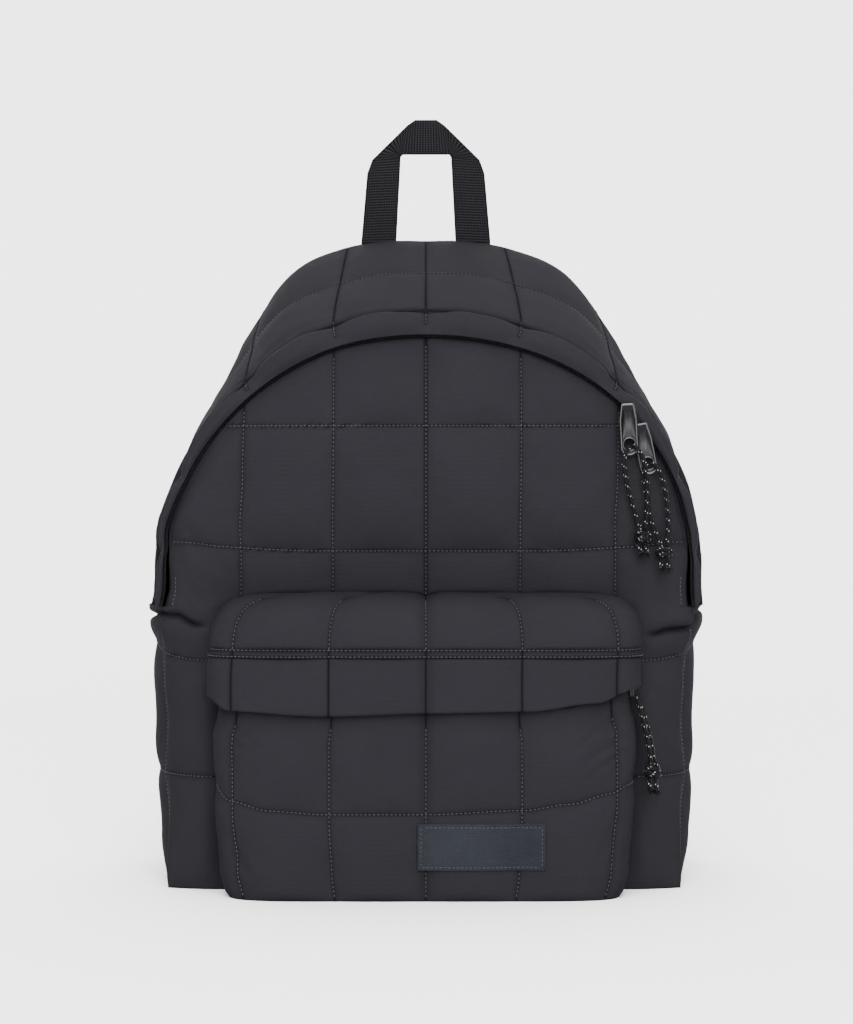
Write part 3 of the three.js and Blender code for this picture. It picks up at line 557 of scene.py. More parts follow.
def stitches(name, rows, material, slot="quilted_cloth"):
    """One mesh of many short thread stitches, each a small bulging spindle that dives at both ends."""
    radius = sizes().thread / MM
    points = []
    faces = []
    turns = [2 * math.pi * s / STITCH_SIDES for s in range(STITCH_SIDES)]
    for ahead, behind, facing in [row for row in rows if row is not None]:
        along = ahead - behind
        middle = (ahead + behind) / 2
        sideways = unit(np.cross(along, facing))
        for k in range(len(middle)):
            first = len(points)
            for place, fat in STITCH_RINGS:
                dive = radius * (0.9 - 1.4 * place * place)
                centre = middle[k] + along[k] * 0.5 * place + facing[k] * dive
                points += [centre + radius * fat * (math.cos(turn) * sideways[k] + math.sin(turn) * facing[k])
                           for turn in turns]
            last = first + (len(STITCH_RINGS) - 1) * STITCH_SIDES
            for low in range(first, last, STITCH_SIDES):
                faces += ring_faces(low, low + STITCH_SIDES, STITCH_SIDES)
            faces.append(tuple(first + s for s in reversed(range(STITCH_SIDES))))
            faces.append(tuple(last + s for s in range(STITCH_SIDES)))
    piece = new_object(name, points, faces)
    return finish_piece(piece, material, slot)


# Relief of the quilting

# How far the puckers reach from a stitch line
PUCKER_REACH = 7.0


def pillow(distance, reach):
    """Rise of a quilted cell at this distance from its nearest stitch line: steep, then flat."""
    share = np.clip(np.abs(distance) / reach, 0, 1)
    return 1 - (1 - share) ** 2.4


def nearest(at, lines):
    lines = np.asarray(lines, float)
    return np.min(np.abs(np.asarray(at, float)[..., None] - lines), axis=-1)


def quilt_relief(a, b, columns, rows, puff, seed, reach=26.0):
    """Height of a quilted cell with the small puckers that gather along its stitches."""
    from_column = nearest(a, columns)
    from_row = nearest(b, rows)
    rise = pillow(from_column, reach) * pillow(from_row, reach)
    near_column = np.exp(-from_column / PUCKER_REACH)
    near_row = np.exp(-from_row / PUCKER_REACH)
    pucker = near_column * ripples(a, b, 0, 3.4, 3.2, seed) + near_row * ripples(a, b, 90, 3.4, 3.2, seed + 1)
    broad = noise(a, b, 34, seed + 2) * 0.55 + noise(a, b, 13, seed + 3) * 0.16
    return puff * rise * (1 + 0.18 * noise(a, b, 60, seed + 4)) + 0.34 * pucker * rise ** 0.4 + broad * rise


def quilt_columns(reach=280.0):
    pitch = sizes().pitch / MM
    count = int(reach // pitch)
    return [k * pitch for k in range(-count, count + 1)]


# Materials: shared effects are groups, and each material keeps its own shader

def new_group(name, inputs, outputs):
    """A node group with these inputs and their defaults, and these outputs, each a single number."""
    group = bpy.data.node_groups.new(name, "ShaderNodeTree")
    for label, default in inputs.items():
        socket = group.interface.new_socket(name=label, in_out="INPUT", socket_type="NodeSocketFloat")
        socket.default_value = default
    for label in outputs:
        group.interface.new_socket(name=label, in_out="OUTPUT", socket_type="NodeSocketFloat")
    return group, group.nodes.new("NodeGroupInput"), group.nodes.new("NodeGroupOutput")


def add_node(tree, kind, links=(), **values):
    """A node with its settings, and its inputs linked from (input, output socket) pairs."""
    node = tree.nodes.new(kind)
    for key, value in values.items():
        if key.startswith("in_"):
            node.inputs[key[3:].replace("_", " ")].default_value = value
        else:
            setattr(node, key, value)
    for target, source in links:
        tree.links.new(source, node.inputs[target])
    return node


def maths(tree, operation, first, second=None):
    node = add_node(tree, "ShaderNodeMath", operation=operation)
    for slot_index, value in enumerate((first, second)):
        if isinstance(value, (int, float)):
            node.inputs[slot_index].default_value = value
        elif value is not None:
            tree.links.new(value, node.inputs[slot_index])
    return node.outputs[0]


def times(tree, first, second):
    return maths(tree, "MULTIPLY", first, second)


def plus(tree, first, second):
    return maths(tree, "ADD", first, second)


def object_noise(tree, place, **values):
    """A noise texture in object space."""
    node = add_node(tree, "ShaderNodeTexNoise", [("Vector", place.outputs["Object"])], **values)
    return node.outputs["Fac"]


def between(tree, share, *ends):
    """The colour between two others, each a plain colour or another node's output."""
    node = add_node(tree, "ShaderNodeMix", [(0, share)], data_type="RGBA")
    for socket, colour in zip(node.inputs[6:8], ends):
        if isinstance(colour, bpy.types.NodeSocket):
            tree.links.new(colour, socket)
        else:
            socket.default_value = (*colour, 1)
    return node.outputs[2]


def shaded(colour, share):
    return [channel * share for channel in colour]


def new_material(name, **values):
    """A material with its own shader, and the values of that shader's inputs."""
    material = bpy.data.materials.new(name)
    material.use_nodes = True
    shader = material.node_tree.nodes["Principled BSDF"]
    for socket, value in values.items():
        shader.inputs[socket.replace("_", " ")].default_value = value
    return material, material.node_tree, shader


def add_bumps(tree, shader, height, strength, distance=0.0003):
    bumps = add_node(tree, "ShaderNodeBump", [("Height", height)], in_Strength=strength, in_Distance=distance)
    tree.links.new(bumps.outputs["Normal"], shader.inputs["Normal"])


def weave_group():
    """Fine over-and-under weave in object space, with slubs and slow changes of shade."""
    found = bpy.data.node_groups.get("Fine weave")
    if found:
        return found
    group, start, end = new_group("Fine weave", {"Scale": 2200.0, "Slub": 0.3}, ("Height", "Shade", "Dust"))
    place = add_node(group, "ShaderNodeTexCoord")
    parts = add_node(group, "ShaderNodeSeparateXYZ", [("Vector", place.outputs["Object"])])
    wave = {}
    for axis in "XYZ":
        scaled = times(group, parts.outputs[axis], start.outputs["Scale"])
        wave[axis] = maths(group, "SINE", scaled)
    level = times(group, plus(group, wave["X"], wave["Y"]), wave["Z"])
    slubs = object_noise(group, place, in_Scale=900.0, in_Detail=3.0)
    slub = times(group, maths(group, "SUBTRACT", slubs, 0.5), start.outputs["Slub"])
    group.links.new(plus(group, times(group, level, 0.25), slub), end.inputs["Height"])
    slow = object_noise(group, place, in_Scale=26.0, in_Detail=4.0, in_Roughness=0.6)
    fine = object_noise(group, place, in_Scale=1500.0, in_Detail=2.0)
    shade = plus(group, times(group, slow, 0.6), times(group, fine, 0.4))
    group.links.new(shade, end.inputs["Shade"])
    group.links.new(object_noise(group, place, in_Scale=7.0, in_Detail=6.0), end.inputs["Dust"])
    return group


# How far the painted shade in stitch grooves, creases and gaps covers the cloth, and the share of the cloth's
# colour that is left in it
PAINTED_SHADE_COVER = 0.85
PAINTED_SHADE_LEFT = 0.1


def cloth_material(name, colour, rough=(0.62, 0.8), bump=0.25, scale=2200.0, spread=0.16):
    found = bpy.data.materials.get(name)
    if found:
        return found
    material, tree, shader = new_material(name, Specular_IOR_Level=0.005)
    weave = add_node(tree, "ShaderNodeGroup", node_tree=weave_group(), in_Scale=scale)
    woven = between(tree, weave.outputs["Shade"], shaded(colour, 1 - spread), shaded(colour, 1 + spread))
    # Painted shade: where the seam attribute is set, the colour darkens towards a tenth of the cloth's, in
    # the stitch grooves, creases and under the flap
    seam = add_node(tree, "ShaderNodeAttribute", attribute_name="seam")
    covered = times(tree, seam.outputs["Fac"], PAINTED_SHADE_COVER)
    tree.links.new(between(tree, covered, woven, shaded(colour, PAINTED_SHADE_LEFT)), shader.inputs["Base Color"])
    roughness = add_node(tree, "ShaderNodeMapRange", [("Value", weave.outputs["Dust"])],
                         in_To_Min=rough[0], in_To_Max=rough[1])
    tree.links.new(roughness.outputs["Result"], shader.inputs["Roughness"])
    add_bumps(tree, shader, weave.outputs["Height"], bump)
    return material


def quilt_cloth():
    return cloth_material("Quilted cloth", colours().cloth)


def thread_material():
    return cloth_material("Thread", colours().thread, rough=(0.45, 0.6), bump=0.1, scale=5000.0)


def sunk_thread_material():
    """The thread where the padding closes over it: painted shade darkens its colour, as little light reaches
    it.
    """
    return cloth_material("Sunk thread", shaded(colours().thread, 0.12), (0.6, 0.7), bump=0.1, scale=5000.0)


def webbing_material():
    return cloth_material("Webbing", colours().webbing, rough=(0.5, 0.68), bump=0.5, scale=3600.0, spread=0.5)


def tape_material():
    return cloth_material("Zip tape", [0.008, 0.008, 0.009], bump=0.4)


def coil_material():
    return cloth_material("Zip coil", [0.012, 0.012, 0.013], rough=(0.3, 0.42), bump=0.05)


def strap_material():
    return cloth_material("Strap cloth", shaded(colours().cloth, 0.85), bump=0.5, scale=3200.0)


def label_material():
    return cloth_material("Woven patch", colours().label, (0.55, 0.7), bump=0.6, scale=4200.0, spread=0.6)


def label_thread_material():
    return cloth_material("Patch thread", [0.03, 0.032, 0.038], rough=(0.5, 0.6), bump=0.1, scale=5000.0)


def plastic_material():
    return cloth_material("Moulded plastic", [0.012, 0.012, 0.013], rough=(0.38, 0.5), bump=0.04, scale=900.0)


def braid_group():
    """Braided sheath over a tube whose texture map holds millimetres along it and radians round it."""
    found = bpy.data.node_groups.get("Braid")
    if found:
        return found
    group, start, end = new_group("Braid", {"Pitch": 3.2, "Fleck share": 0.87}, ("Height", "Fleck"))
    place = add_node(group, "ShaderNodeUVMap", uv_map="along")
    parts = add_node(group, "ShaderNodeSeparateXYZ", [("Vector", place.outputs["UV"])])
    full = times(group, parts.outputs["X"], 2 * math.pi)
    way = maths(group, "DIVIDE", full, start.outputs["Pitch"])
    turn = times(group, parts.outputs["Y"], 4.0)
    right = maths(group, "SINE", plus(group, turn, way))
    left = maths(group, "SINE", maths(group, "SUBTRACT", turn, way))
    group.links.new(times(group, right, left), end.inputs["Height"])
    drift = times(group, parts.outputs["X"], 1.05)
    slow = maths(group, "SINE", plus(group, drift, parts.outputs["Y"]))
    spot = times(group, maths(group, "MAXIMUM", slow, 0.0), maths(group, "MAXIMUM", left, 0.0))
    mask = maths(group, "GREATER_THAN", spot, start.outputs["Fleck share"])
    group.links.new(mask, end.inputs["Fleck"])
    return group


def cord_material():
    found = bpy.data.materials.get("Pull cord")
    if found:
        return found
    material, tree, shader = new_material("Pull cord", Specular_IOR_Level=0.03)
    braid = add_node(tree, "ShaderNodeGroup", node_tree=braid_group())
    tree.links.new(between(tree, braid.outputs["Fleck"], colours().cord, colours().fleck),
                   shader.inputs["Base Color"])
    rough = add_node(tree, "ShaderNodeMapRange", [("Value", braid.outputs["Height"])],
                     in_To_Min=0.6, in_To_Max=0.42)
    tree.links.new(rough.outputs["Result"], shader.inputs["Roughness"])
    add_bumps(tree, shader, braid.outputs["Height"], 0.6, 0.0002)
    return material


# Distance between the webbing's ribs, in millimetres
RIB_PITCH = 1.75


def rib_group():
    """Webbing whose texture map holds millimetres along and across it: ribs, and painted highlights in rows
    of small light dots on the ribs' crests.
    """
    found = bpy.data.node_groups.get("Webbing ribs")
    if found:
        return found
    group, start, end = new_group("Webbing ribs", {"Rib": RIB_PITCH, "Column": 1.5}, ("Height", "Dot"))
    place = add_node(group, "ShaderNodeUVMap", uv_map="along")
    parts = add_node(group, "ShaderNodeSeparateXYZ", [("Vector", place.outputs["UV"])])
    down = times(group, parts.outputs["X"], math.pi)
    across = times(group, parts.outputs["Y"], 2 * math.pi)
    rib = maths(group, "ABSOLUTE", maths(group, "SINE", maths(group, "DIVIDE", down, start.outputs["Rib"])))
    column = maths(group, "SINE", maths(group, "DIVIDE", across, start.outputs["Column"]))
    group.links.new(plus(group, rib, times(group, column, 0.4)), end.inputs["Height"])
    row = maths(group, "POWER", rib, 3.0)
    beads = plus(group, times(group, maths(group, "MAXIMUM", column, 0.0), 0.6), 0.4)
    group.links.new(times(group, row, beads), end.inputs["Dot"])
    return group


def rib_material():
    found = bpy.data.materials.get("Ribbed webbing")
    if found:
        return found
    material, tree, shader = new_material("Ribbed webbing", Roughness=0.5, Specular_IOR_Level=0.02)
    ribs = add_node(tree, "ShaderNodeGroup", node_tree=rib_group())
    base = colours().webbing
    # Painted light in the base colour: highlights up to 7 times the webbing's colour on the ribs' crests, and
    # painted shade down to a fifth of it between them
    crest_highlights = between(tree, ribs.outputs["Dot"], shaded(base, 0.2), shaded(base, 7.0))
    tree.links.new(crest_highlights, shader.inputs["Base Color"])
    add_bumps(tree, shader, ribs.outputs["Height"], 0.5)
    return material


def metal_group():
    """Brushed and slightly rubbed metal in object space."""
    found = bpy.data.node_groups.get("Rubbed metal")
    if found:
        return found
    group, start, end = new_group("Rubbed metal", {"Grain": 900.0}, ("Roughness", "Height", "Wear"))
    place = add_node(group, "ShaderNodeTexCoord")
    long_way = add_node(group, "ShaderNodeMapping", [("Vector", place.outputs["Object"])])
    long_way.inputs["Scale"].default_value = (1, 1, 0.06)
    grain = add_node(group, "ShaderNodeTexNoise", [("Vector", long_way.outputs["Vector"]),
                                                   ("Scale", start.outputs["Grain"])], in_Detail=3.0)
    spots = object_noise(group, place, in_Scale=420.0, in_Detail=5.0)
    rough = plus(group, times(group, grain.outputs["Fac"], 0.22), times(group, spots, 0.22))
    group.links.new(plus(group, rough, 0.1), end.inputs["Roughness"])
    group.links.new(grain.outputs["Fac"], end.inputs["Height"])
    group.links.new(spots, end.inputs["Wear"])
    return group


def metal_material():
    found = bpy.data.materials.get("Tab metal")
    if found:
        return found
    material, tree, shader = new_material("Tab metal", Metallic=1.0)
    worn = add_node(tree, "ShaderNodeGroup", node_tree=metal_group())
    metal = colours().metal
    face = between(tree, worn.outputs["Wear"], shaded(metal, 0.7), shaded(metal, 1.3))
    # Painted highlight on the raised rim and the hole's rolled edge: the colour rises to 4.5 times the
    # metal's there
    rim = add_node(tree, "ShaderNodeAttribute", attribute_name="rim")
    tree.links.new(between(tree, rim.outputs["Fac"], face, shaded(metal, 4.5)), shader.inputs["Base Color"])
    tree.links.new(worn.outputs["Roughness"], shader.inputs["Roughness"])
    add_bumps(tree, shader, worn.outputs["Height"], 0.08, 0.0002)
    return material


# Front panel

# The outermost stitch line, which runs up beside the zip's end: place across, and its upper end
EDGE_LINE = 152.0
EDGE_LINE_TOP = 1.36
# The stitch columns behind the pocket start at this height
HIDDEN_BELOW = 172.0
# The creases under the zip's ends need a finer mesh, which starts at this height
FINE_FROM = 145.0
FINE_STEP = 0.9
SEAM_SPREAD = 0.9


def front_place(turn, point):
    """Lengths across and up the cloth, in which the stitch lines are straight."""
    a = np.where(np.abs(turn) <= 1, point[..., 0], wall_length(turn))
    return a, point[..., 2] - side_lift(turn, point[..., 2])


# Painted shade in the cloth's colour: along the stitch grooves, and at 0.8 strength in the creases under the
# zip's ends
def front_shade(turn, row, point):
    a, b = front_place(turn, point)
    seams = seam_shade(np.minimum(nearest(a, quilt_columns()), nearest(b, QUILT_ROWS[1:-1])))
    return np.maximum(seams, 0.8 * crease_shade(a, point[..., 2]))


def pocket_cover(point):
    """1 where the pocket and its hood lie on the panel, fading out round them."""
    across = np.abs(point[..., 0]) / 126
    up = np.maximum(point[..., 2] - POCKET_SEAM, 0) / (HOOD_RISE + 2)
    return 1 - smooth(0.93, 1.04, (across ** 6 + up ** 6) ** (1 / 6))


def front_relief(turn, row, point):
    seed = sizes().seed
    a, b = front_place(turn, point)
    rise = quilt_relief(a, b, quilt_columns(), QUILT_ROWS, sizes().puff / MM, seed)
    behind = pocket_cover(point)
    zip_distance = (1 - arch_reach(point[..., 0], point[..., 2], -PANEL_GAP)) * ARCH_HALF
    edge = np.where(row >= 1, pillow(np.maximum(zip_distance, 0), 13), 1)
    hem = pillow(REAR_DEPTH - point[..., 1], 9) * pillow(point[..., 2], 8)
    fold = side_folds(a, point[..., 0], point[..., 2])
    return (rise + fold) * (1 - behind) * edge * hem


def side_lift(turn, height):
    """The stitch rows rise a little as they run round the corners."""
    way = np.abs(turn)
    return smooth(1.1, 2.1, way) * 9 * hump(height - QUILT_ROWS[2], 45) \
        + smooth(0.5, 1.4, way) * 5 * hump(height - QUILT_ROWS[3], 30)


# Creases under the zip's ends, the left one and the right one: length along the wall, height
CREASES = {
    -1: ((120, 153), (134, 157), (150, 163), (165, 164), (215, 160), (250, 158)),
    1: ((120, 149), (133, 151.5), (145, 154.5), (160, 155.5), (172, 160), (185, 163.5), (215, 166)),
}
# Soft drag folds: start and end, each across and up, then width and depth
DRAGS = (
    (-152, 206, -126, 168, 5.0, 0.9), (-149, 192, -133, 166, 4.0, 0.8), (-142, 214, -120, 186, 5.0, 0.5),
    (153, 200, 130, 170, 5.0, 0.8), (150, 186, 136, 166, 4.0, 0.7), (-120, 120, -140, 98, 5.0, 0.7),
    (122, 126, 148, 112, 4.5, 0.8), (124, 96, 150, 74, 5.0, 0.6),
)


def drag(x, z, rows):
    """Creases along slightly wavy lines, which fade out at their far end."""
    total = np.zeros(np.shape(x))
    for x0, z0, x1, z1, width, depth in rows:
        size = math.hypot(x1 - x0, z1 - z0)
        right = (x1 - x0) / size
        up = (z1 - z0) / size
        place = (x - x0) * right + (z - z0) * up
        off = -(x - x0) * up + (z - z0) * right + 1.4 * np.sin(place / 9)
        span = smooth(-10, 4, place) * (1 - smooth(size * 0.55, size + 8, place))
        ridge = 0.6 * hump(off - width * 1.3, width)
        total += depth * (ridge - hump(off, width)) * span
    return total


def side_folds(a, x, height):
    """Folds below the zip's ends, where the cloth gathers as it turns the corner."""
    total = drag(x, height, DRAGS)
    way = np.abs(a)
    for side, rows in CREASES.items():
        over = height - by_height(rows, way, 1)
        shape = 2.1 * hump(over - 7, 5) - 4.4 * hump(over, 1.8) + hump(over + 8, 6)
        span = smooth(126, 140, way) * (1 - smooth(205, 245, way)) * (np.sign(a) == side)
        total += shape * span
    return total


# Painted shade along the creases under the zip's ends
def crease_shade(a, height):
    total = np.zeros(np.shape(a))
    way = np.abs(a)
    for side, rows in CREASES.items():
        over = height - by_height(rows, way, 1)
        span = smooth(128, 138, way) * (1 - smooth(185, 215, way)) * (np.sign(a) == side)
        total += hump(over, 1.1) * span
    return total


def grid_steps(length, spacing=None):
    return max(int(round(length / (spacing or sizes().grid / MM))), 4)


def with_lines(values, lines, spread):
    """Grid places with three close ones at each stitch line, in place of those that lie too near to it."""
    lines = [place for place in lines if values[0] < place < values[-1]]
    kept = [value for value in values[1:-1]
            if not lines or min(abs(value - place) for place in lines) > 1.6 * spread]
    close = [place + shift for place in lines for shift in (-spread, 0, spread)
             if values[0] < place + shift < values[-1]]
    return np.unique(np.concatenate([[values[0], values[-1]], kept, close]))


def build_shell(name, cloth, u, v, wall, keep, present=None):
    """The padded shell of a cloth over these grid places; keep holds its inner face off what lies behind."""
    grid_u, grid_v = np.meshgrid(u, v, indexing="ij")
    base = cloth.form(grid_u, grid_v)
    normal = unit(np.cross(np.gradient(base, axis=0), np.gradient(base, axis=1)))
    outer = lean(base + normal * cloth.relief(grid_u, grid_v, base)[..., None])
    inner = lean(keep(base - normal * wall))
    shade = cloth.shade(grid_u, grid_v, base) if cloth.shade else None
    return shell(name, outer, inner, present, shade)


# Painted shade across a stitch groove, by the distance from its line
def seam_shade(distance):
    return hump(distance, 0.75)


def keep_front(points):
    points[..., 1] = np.minimum(points[..., 1], REAR_DEPTH)
    points[..., 2] = np.maximum(points[..., 2], 0)
    return points


def line(cloth, u, v):
    """The stitches of one line over a cloth, along which one of the two places may stay the same."""
    u, v = np.broadcast_arrays(np.asarray(u, float), np.asarray(v, float))
    return thread_row(lean(cloth.point(u, v, STITCH_LIFT)), cloth.normal(u, v))


def front_rows():
    low = np.linspace(0, 1, grid_steps(ZIP_END))
    low = with_lines(low, [height / ZIP_END for height in QUILT_ROWS], SEAM_SPREAD / ZIP_END)
    creased = (low > FINE_FROM / ZIP_END) & (low < 1)
    low = np.concatenate([low[~creased], np.arange(FINE_FROM, ZIP_END, FINE_STEP) / ZIP_END])
    high = np.linspace(1, 2, grid_steps(ARCH_RISE))
    lines = [1 + (height - ZIP_END) / (ARCH_RISE - PANEL_GAP) for height in QUILT_ROWS[3:5]]
    high = with_lines(high, lines, 0.006)[1:]
    return np.concatenate([np.sort(low), high])


def upper_row(turn, height):
    """Row coordinate of a height above the zip's ends, at these columns."""
    foot = wall_point(turn, ZIP_END)[..., 0]
    across = np.minimum(np.abs(foot) / (ARCH_HALF - PANEL_GAP), 1)
    rise = (ARCH_RISE - PANEL_GAP) * (1 - across ** ARCH_POWER) ** (1 / ARCH_POWER)
    return 1 + (height - ZIP_END) / np.maximum(rise, 1e-6)


class BACKPACK_OT_front(bpy.types.Operator):
    """Quilted front panel, which wraps to the sides below the zip's ends, with its stitches"""
    bl_idname = "backpack.front"
    bl_label = "Front panel"

    def execute(self, context):
        cloth = Cloth(front_point, front_relief, front_shade)
        lengths = np.linspace(0, WALL_LENGTHS[-1], grid_steps(WALL_LENGTHS[-1]))
        lengths = with_lines(lengths, [column for column in quilt_columns() if column > 1], SEAM_SPREAD)
        half = wall_turn(lengths)
        half = np.sort(np.append(half[np.abs(half - ZIP_TURN) > 0.004], ZIP_TURN))
        turns = np.concatenate([-half[:0:-1], half])
        rows = front_rows()
        middle_turn = (np.abs(turns[:-1]) + np.abs(turns[1:])) / 2
        present = (rows[1:] <= 1 + 1e-9)[None, :] | (middle_turn < ZIP_TURN)[:, None]
        piece = build_shell("front_cloth", cloth, turns, rows, sizes().wall / MM, keep_front, present)
        finish_piece(piece, quilt_cloth(), "quilted_cloth", "front_panel")
        stitches("front_stitches", self.stitch_lines(cloth), thread_material())
        return {"FINISHED"}

    def stitch_lines(self, cloth):
        found = []
        for column in quilt_columns():
            turn = wall_turn(column) if abs(column) > FLAT_HALF else column / FLAT_HALF
            behind_pocket = abs(column) < FLAT_HALF - 4
            start = upper_row(np.array(turn), HIDDEN_BELOW) if behind_pocket else 0.02
            top = 1.985 if abs(turn) < ZIP_TURN else 0.985
            found.append(line(cloth, turn, np.linspace(float(start), top, 90)))
        turns = np.linspace(1.0, ZIP_TURN, 60)
        edge_turn = np.interp(EDGE_LINE, front_point(turns, np.ones(60))[:, 0], turns)
        for side in (-1, 1):
            found.append(line(cloth, side * edge_turn, np.linspace(1.01, EDGE_LINE_TOP, 60)))
        for height in QUILT_ROWS[1:-1]:
            if height < ZIP_END:
                for side in (-1, 1):
                    turns = side * np.linspace(1.0, 2.97, 80)
                    found.append(line(cloth, turns, (height + side_lift(turns, height)) / ZIP_END))
            else:
                turns = np.linspace(-1.45, 1.45, 200)
                rows = upper_row(turns, height + side_lift(turns, height))
                inside = rows < 1.98
                found.append(line(cloth, turns[inside], rows[inside]))
        return found


# Top band

# Rows and depths of the two grooves along it, of which only the second is stitched
GUSSET_LINES = (3.02, 5.07)
GUSSET_DIP = -36.0
GUSSET_SEAM = 22.0
# Depths between which its cells puff up
GUSSET_HELD = (GUSSET_SEAM, REAR_DEPTH, -95.0)
GUSSET_LENGTH = 520.0
GUSSET_WALL = 4.5
# Wrinkles behind the lip: angle on the arch, width in degrees, and depth
LIP_GATHERS = (
    (-4.5, 1.6, 0.9), (0.5, 1.3, 0.8), (3.2, 1.5, 0.7), (-37.5, 1.5, 1.1), (-41, 1.2, 0.8), (38.5, 1.5, 1.0),
    (42, 1.3, 0.8), (57, 1.8, 0.9), (66, 1.6, 0.8), (-58, 1.7, 0.8), (-70, 1.8, 0.8), (75, 1.6, 0.7),
)


def gusset_place(angle):
    """Length along the band, in which the stitch lines that cross it are evenly spaced."""
    a = gusset_point(angle, np.full(np.shape(angle), 4.0))[..., 0]
    side = smooth(47.5, 52, np.abs(angle))
    return a * (1 - side) + np.sign(angle) * (111 + (np.abs(angle) - 47.5) * 3.4) * side


# Painted shade along the band's cross stitch lines and its lengthwise seam
def gusset_shade(angle, row, point):
    across = nearest(gusset_place(angle), quilt_columns()) + 9 * (row < 1)
    return seam_shade(np.minimum(across, np.abs(point[..., 1] - GUSSET_SEAM)))


def gusset_relief(angle, row, point):
    seed = sizes().seed + 20
    a = gusset_place(angle)
    b = point[..., 1]
    rise = quilt_relief(a, b, quilt_columns(), GUSSET_HELD, sizes().puff / MM, seed)
    rise = rise * (1 - 0.4 * hump(b - GUSSET_DIP, 4))
    roll = ripples(a, b, 4, 5.5, 7.0, seed + 5) * 0.35 * hump(b + 44, 10)
    gathers = gather_folds(angle, b)
    hem = pillow(REAR_DEPTH - b, 7)
    end = pillow((90 - np.abs(angle)) * 3, 12)
    lip = smooth(0, 1.2, row)
    return (rise + roll + gathers) * hem * end * lip


def gather_folds(angle, b):
    """Short wrinkles that run back from the lip, where it is drawn tight over the zip."""
    fade = hump(b + 46, 16)
    total = 0
    for place, width, depth in LIP_GATHERS:
        total = total - depth * hump(angle - place, width)
    return total * fade


def keep_gusset(points):
    reach = arch_reach(points[..., 0], points[..., 2], 0.8)
    scale = np.where(reach < 1, 1 / np.maximum(reach, 1e-6), 1)
    points[..., 0] *= scale
    points[..., 2] = ZIP_END + (points[..., 2] - ZIP_END) * scale
    points[..., 1] = np.minimum(points[..., 1], REAR_DEPTH)
    points[..., 2] = np.maximum(points[..., 2], ZIP_END + SEAT)
    return points


class BACKPACK_OT_gusset(bpy.types.Operator):
    """Arched quilted band over the main compartment, whose lip hangs over the zip"""
    bl_idname = "backpack.gusset"
    bl_label = "Top band"

    def execute(self, context):
        cloth = Cloth(gusset_point, gusset_relief, gusset_shade)
        angles = even_angles(grid_steps(GUSSET_LENGTH))
        angles = with_lines(angles, self.cross_angles(), 0.3)
        rows = np.concatenate([np.linspace(0, 2, 12)[:-1], np.linspace(2, 3, 9)[:-1], np.linspace(3, 7, 62)])
        rows = with_lines(rows, GUSSET_LINES, 0.03)
        piece = build_shell("gusset_cloth", cloth, angles, rows, GUSSET_WALL, keep_gusset)
        finish_piece(piece, quilt_cloth(), "quilted_cloth", "main_gusset")
        stitches("gusset_stitches", self.lengthwise(cloth), thread_material())
        stitches("gusset_cross_stitches", self.crosswise(cloth), sunk_thread_material())
        return {"FINISHED"}

    def cross_angles(self):
        """Angles of the stitch lines that run across the band."""
        angles = np.linspace(0, 85, 800)
        places = gusset_place(angles)
        right = [float(np.interp(k * sizes().pitch / MM, places, angles)) for k in (1, 2, 3, 4)]
        return [-angle for angle in right[::-1]] + [0.0] + right

    def lengthwise(self, cloth):
        """The seam along the band, and the ends of the cross lines on the lip, which the light reaches."""
        angles = even_angles(400)[2:-2]
        front = [line(cloth, angle, np.linspace(1.1, 3, 24)) for angle in self.cross_angles()]
        return [line(cloth, angles, GUSSET_LINES[1]), *front]

    def crosswise(self, cloth):
        """The cross lines behind the lip, which sink into the padding."""
        return [line(cloth, angle, np.linspace(3.1, 6.95, 40)) for angle in self.cross_angles()]


def even_angles(count):
    """Angles on the zip's arch at even distances along it, from one zip end to the other."""
    fine = np.linspace(-90, 90, 2001)
    return spread_evenly(fine, arch_point(fine), count)


# Back and base

# Stitched channels of the back, across and up
BACK_CHANNELS = (-48.0, 48.0)
BACK_LEVELS = (95.0, 190.0, 285.0)


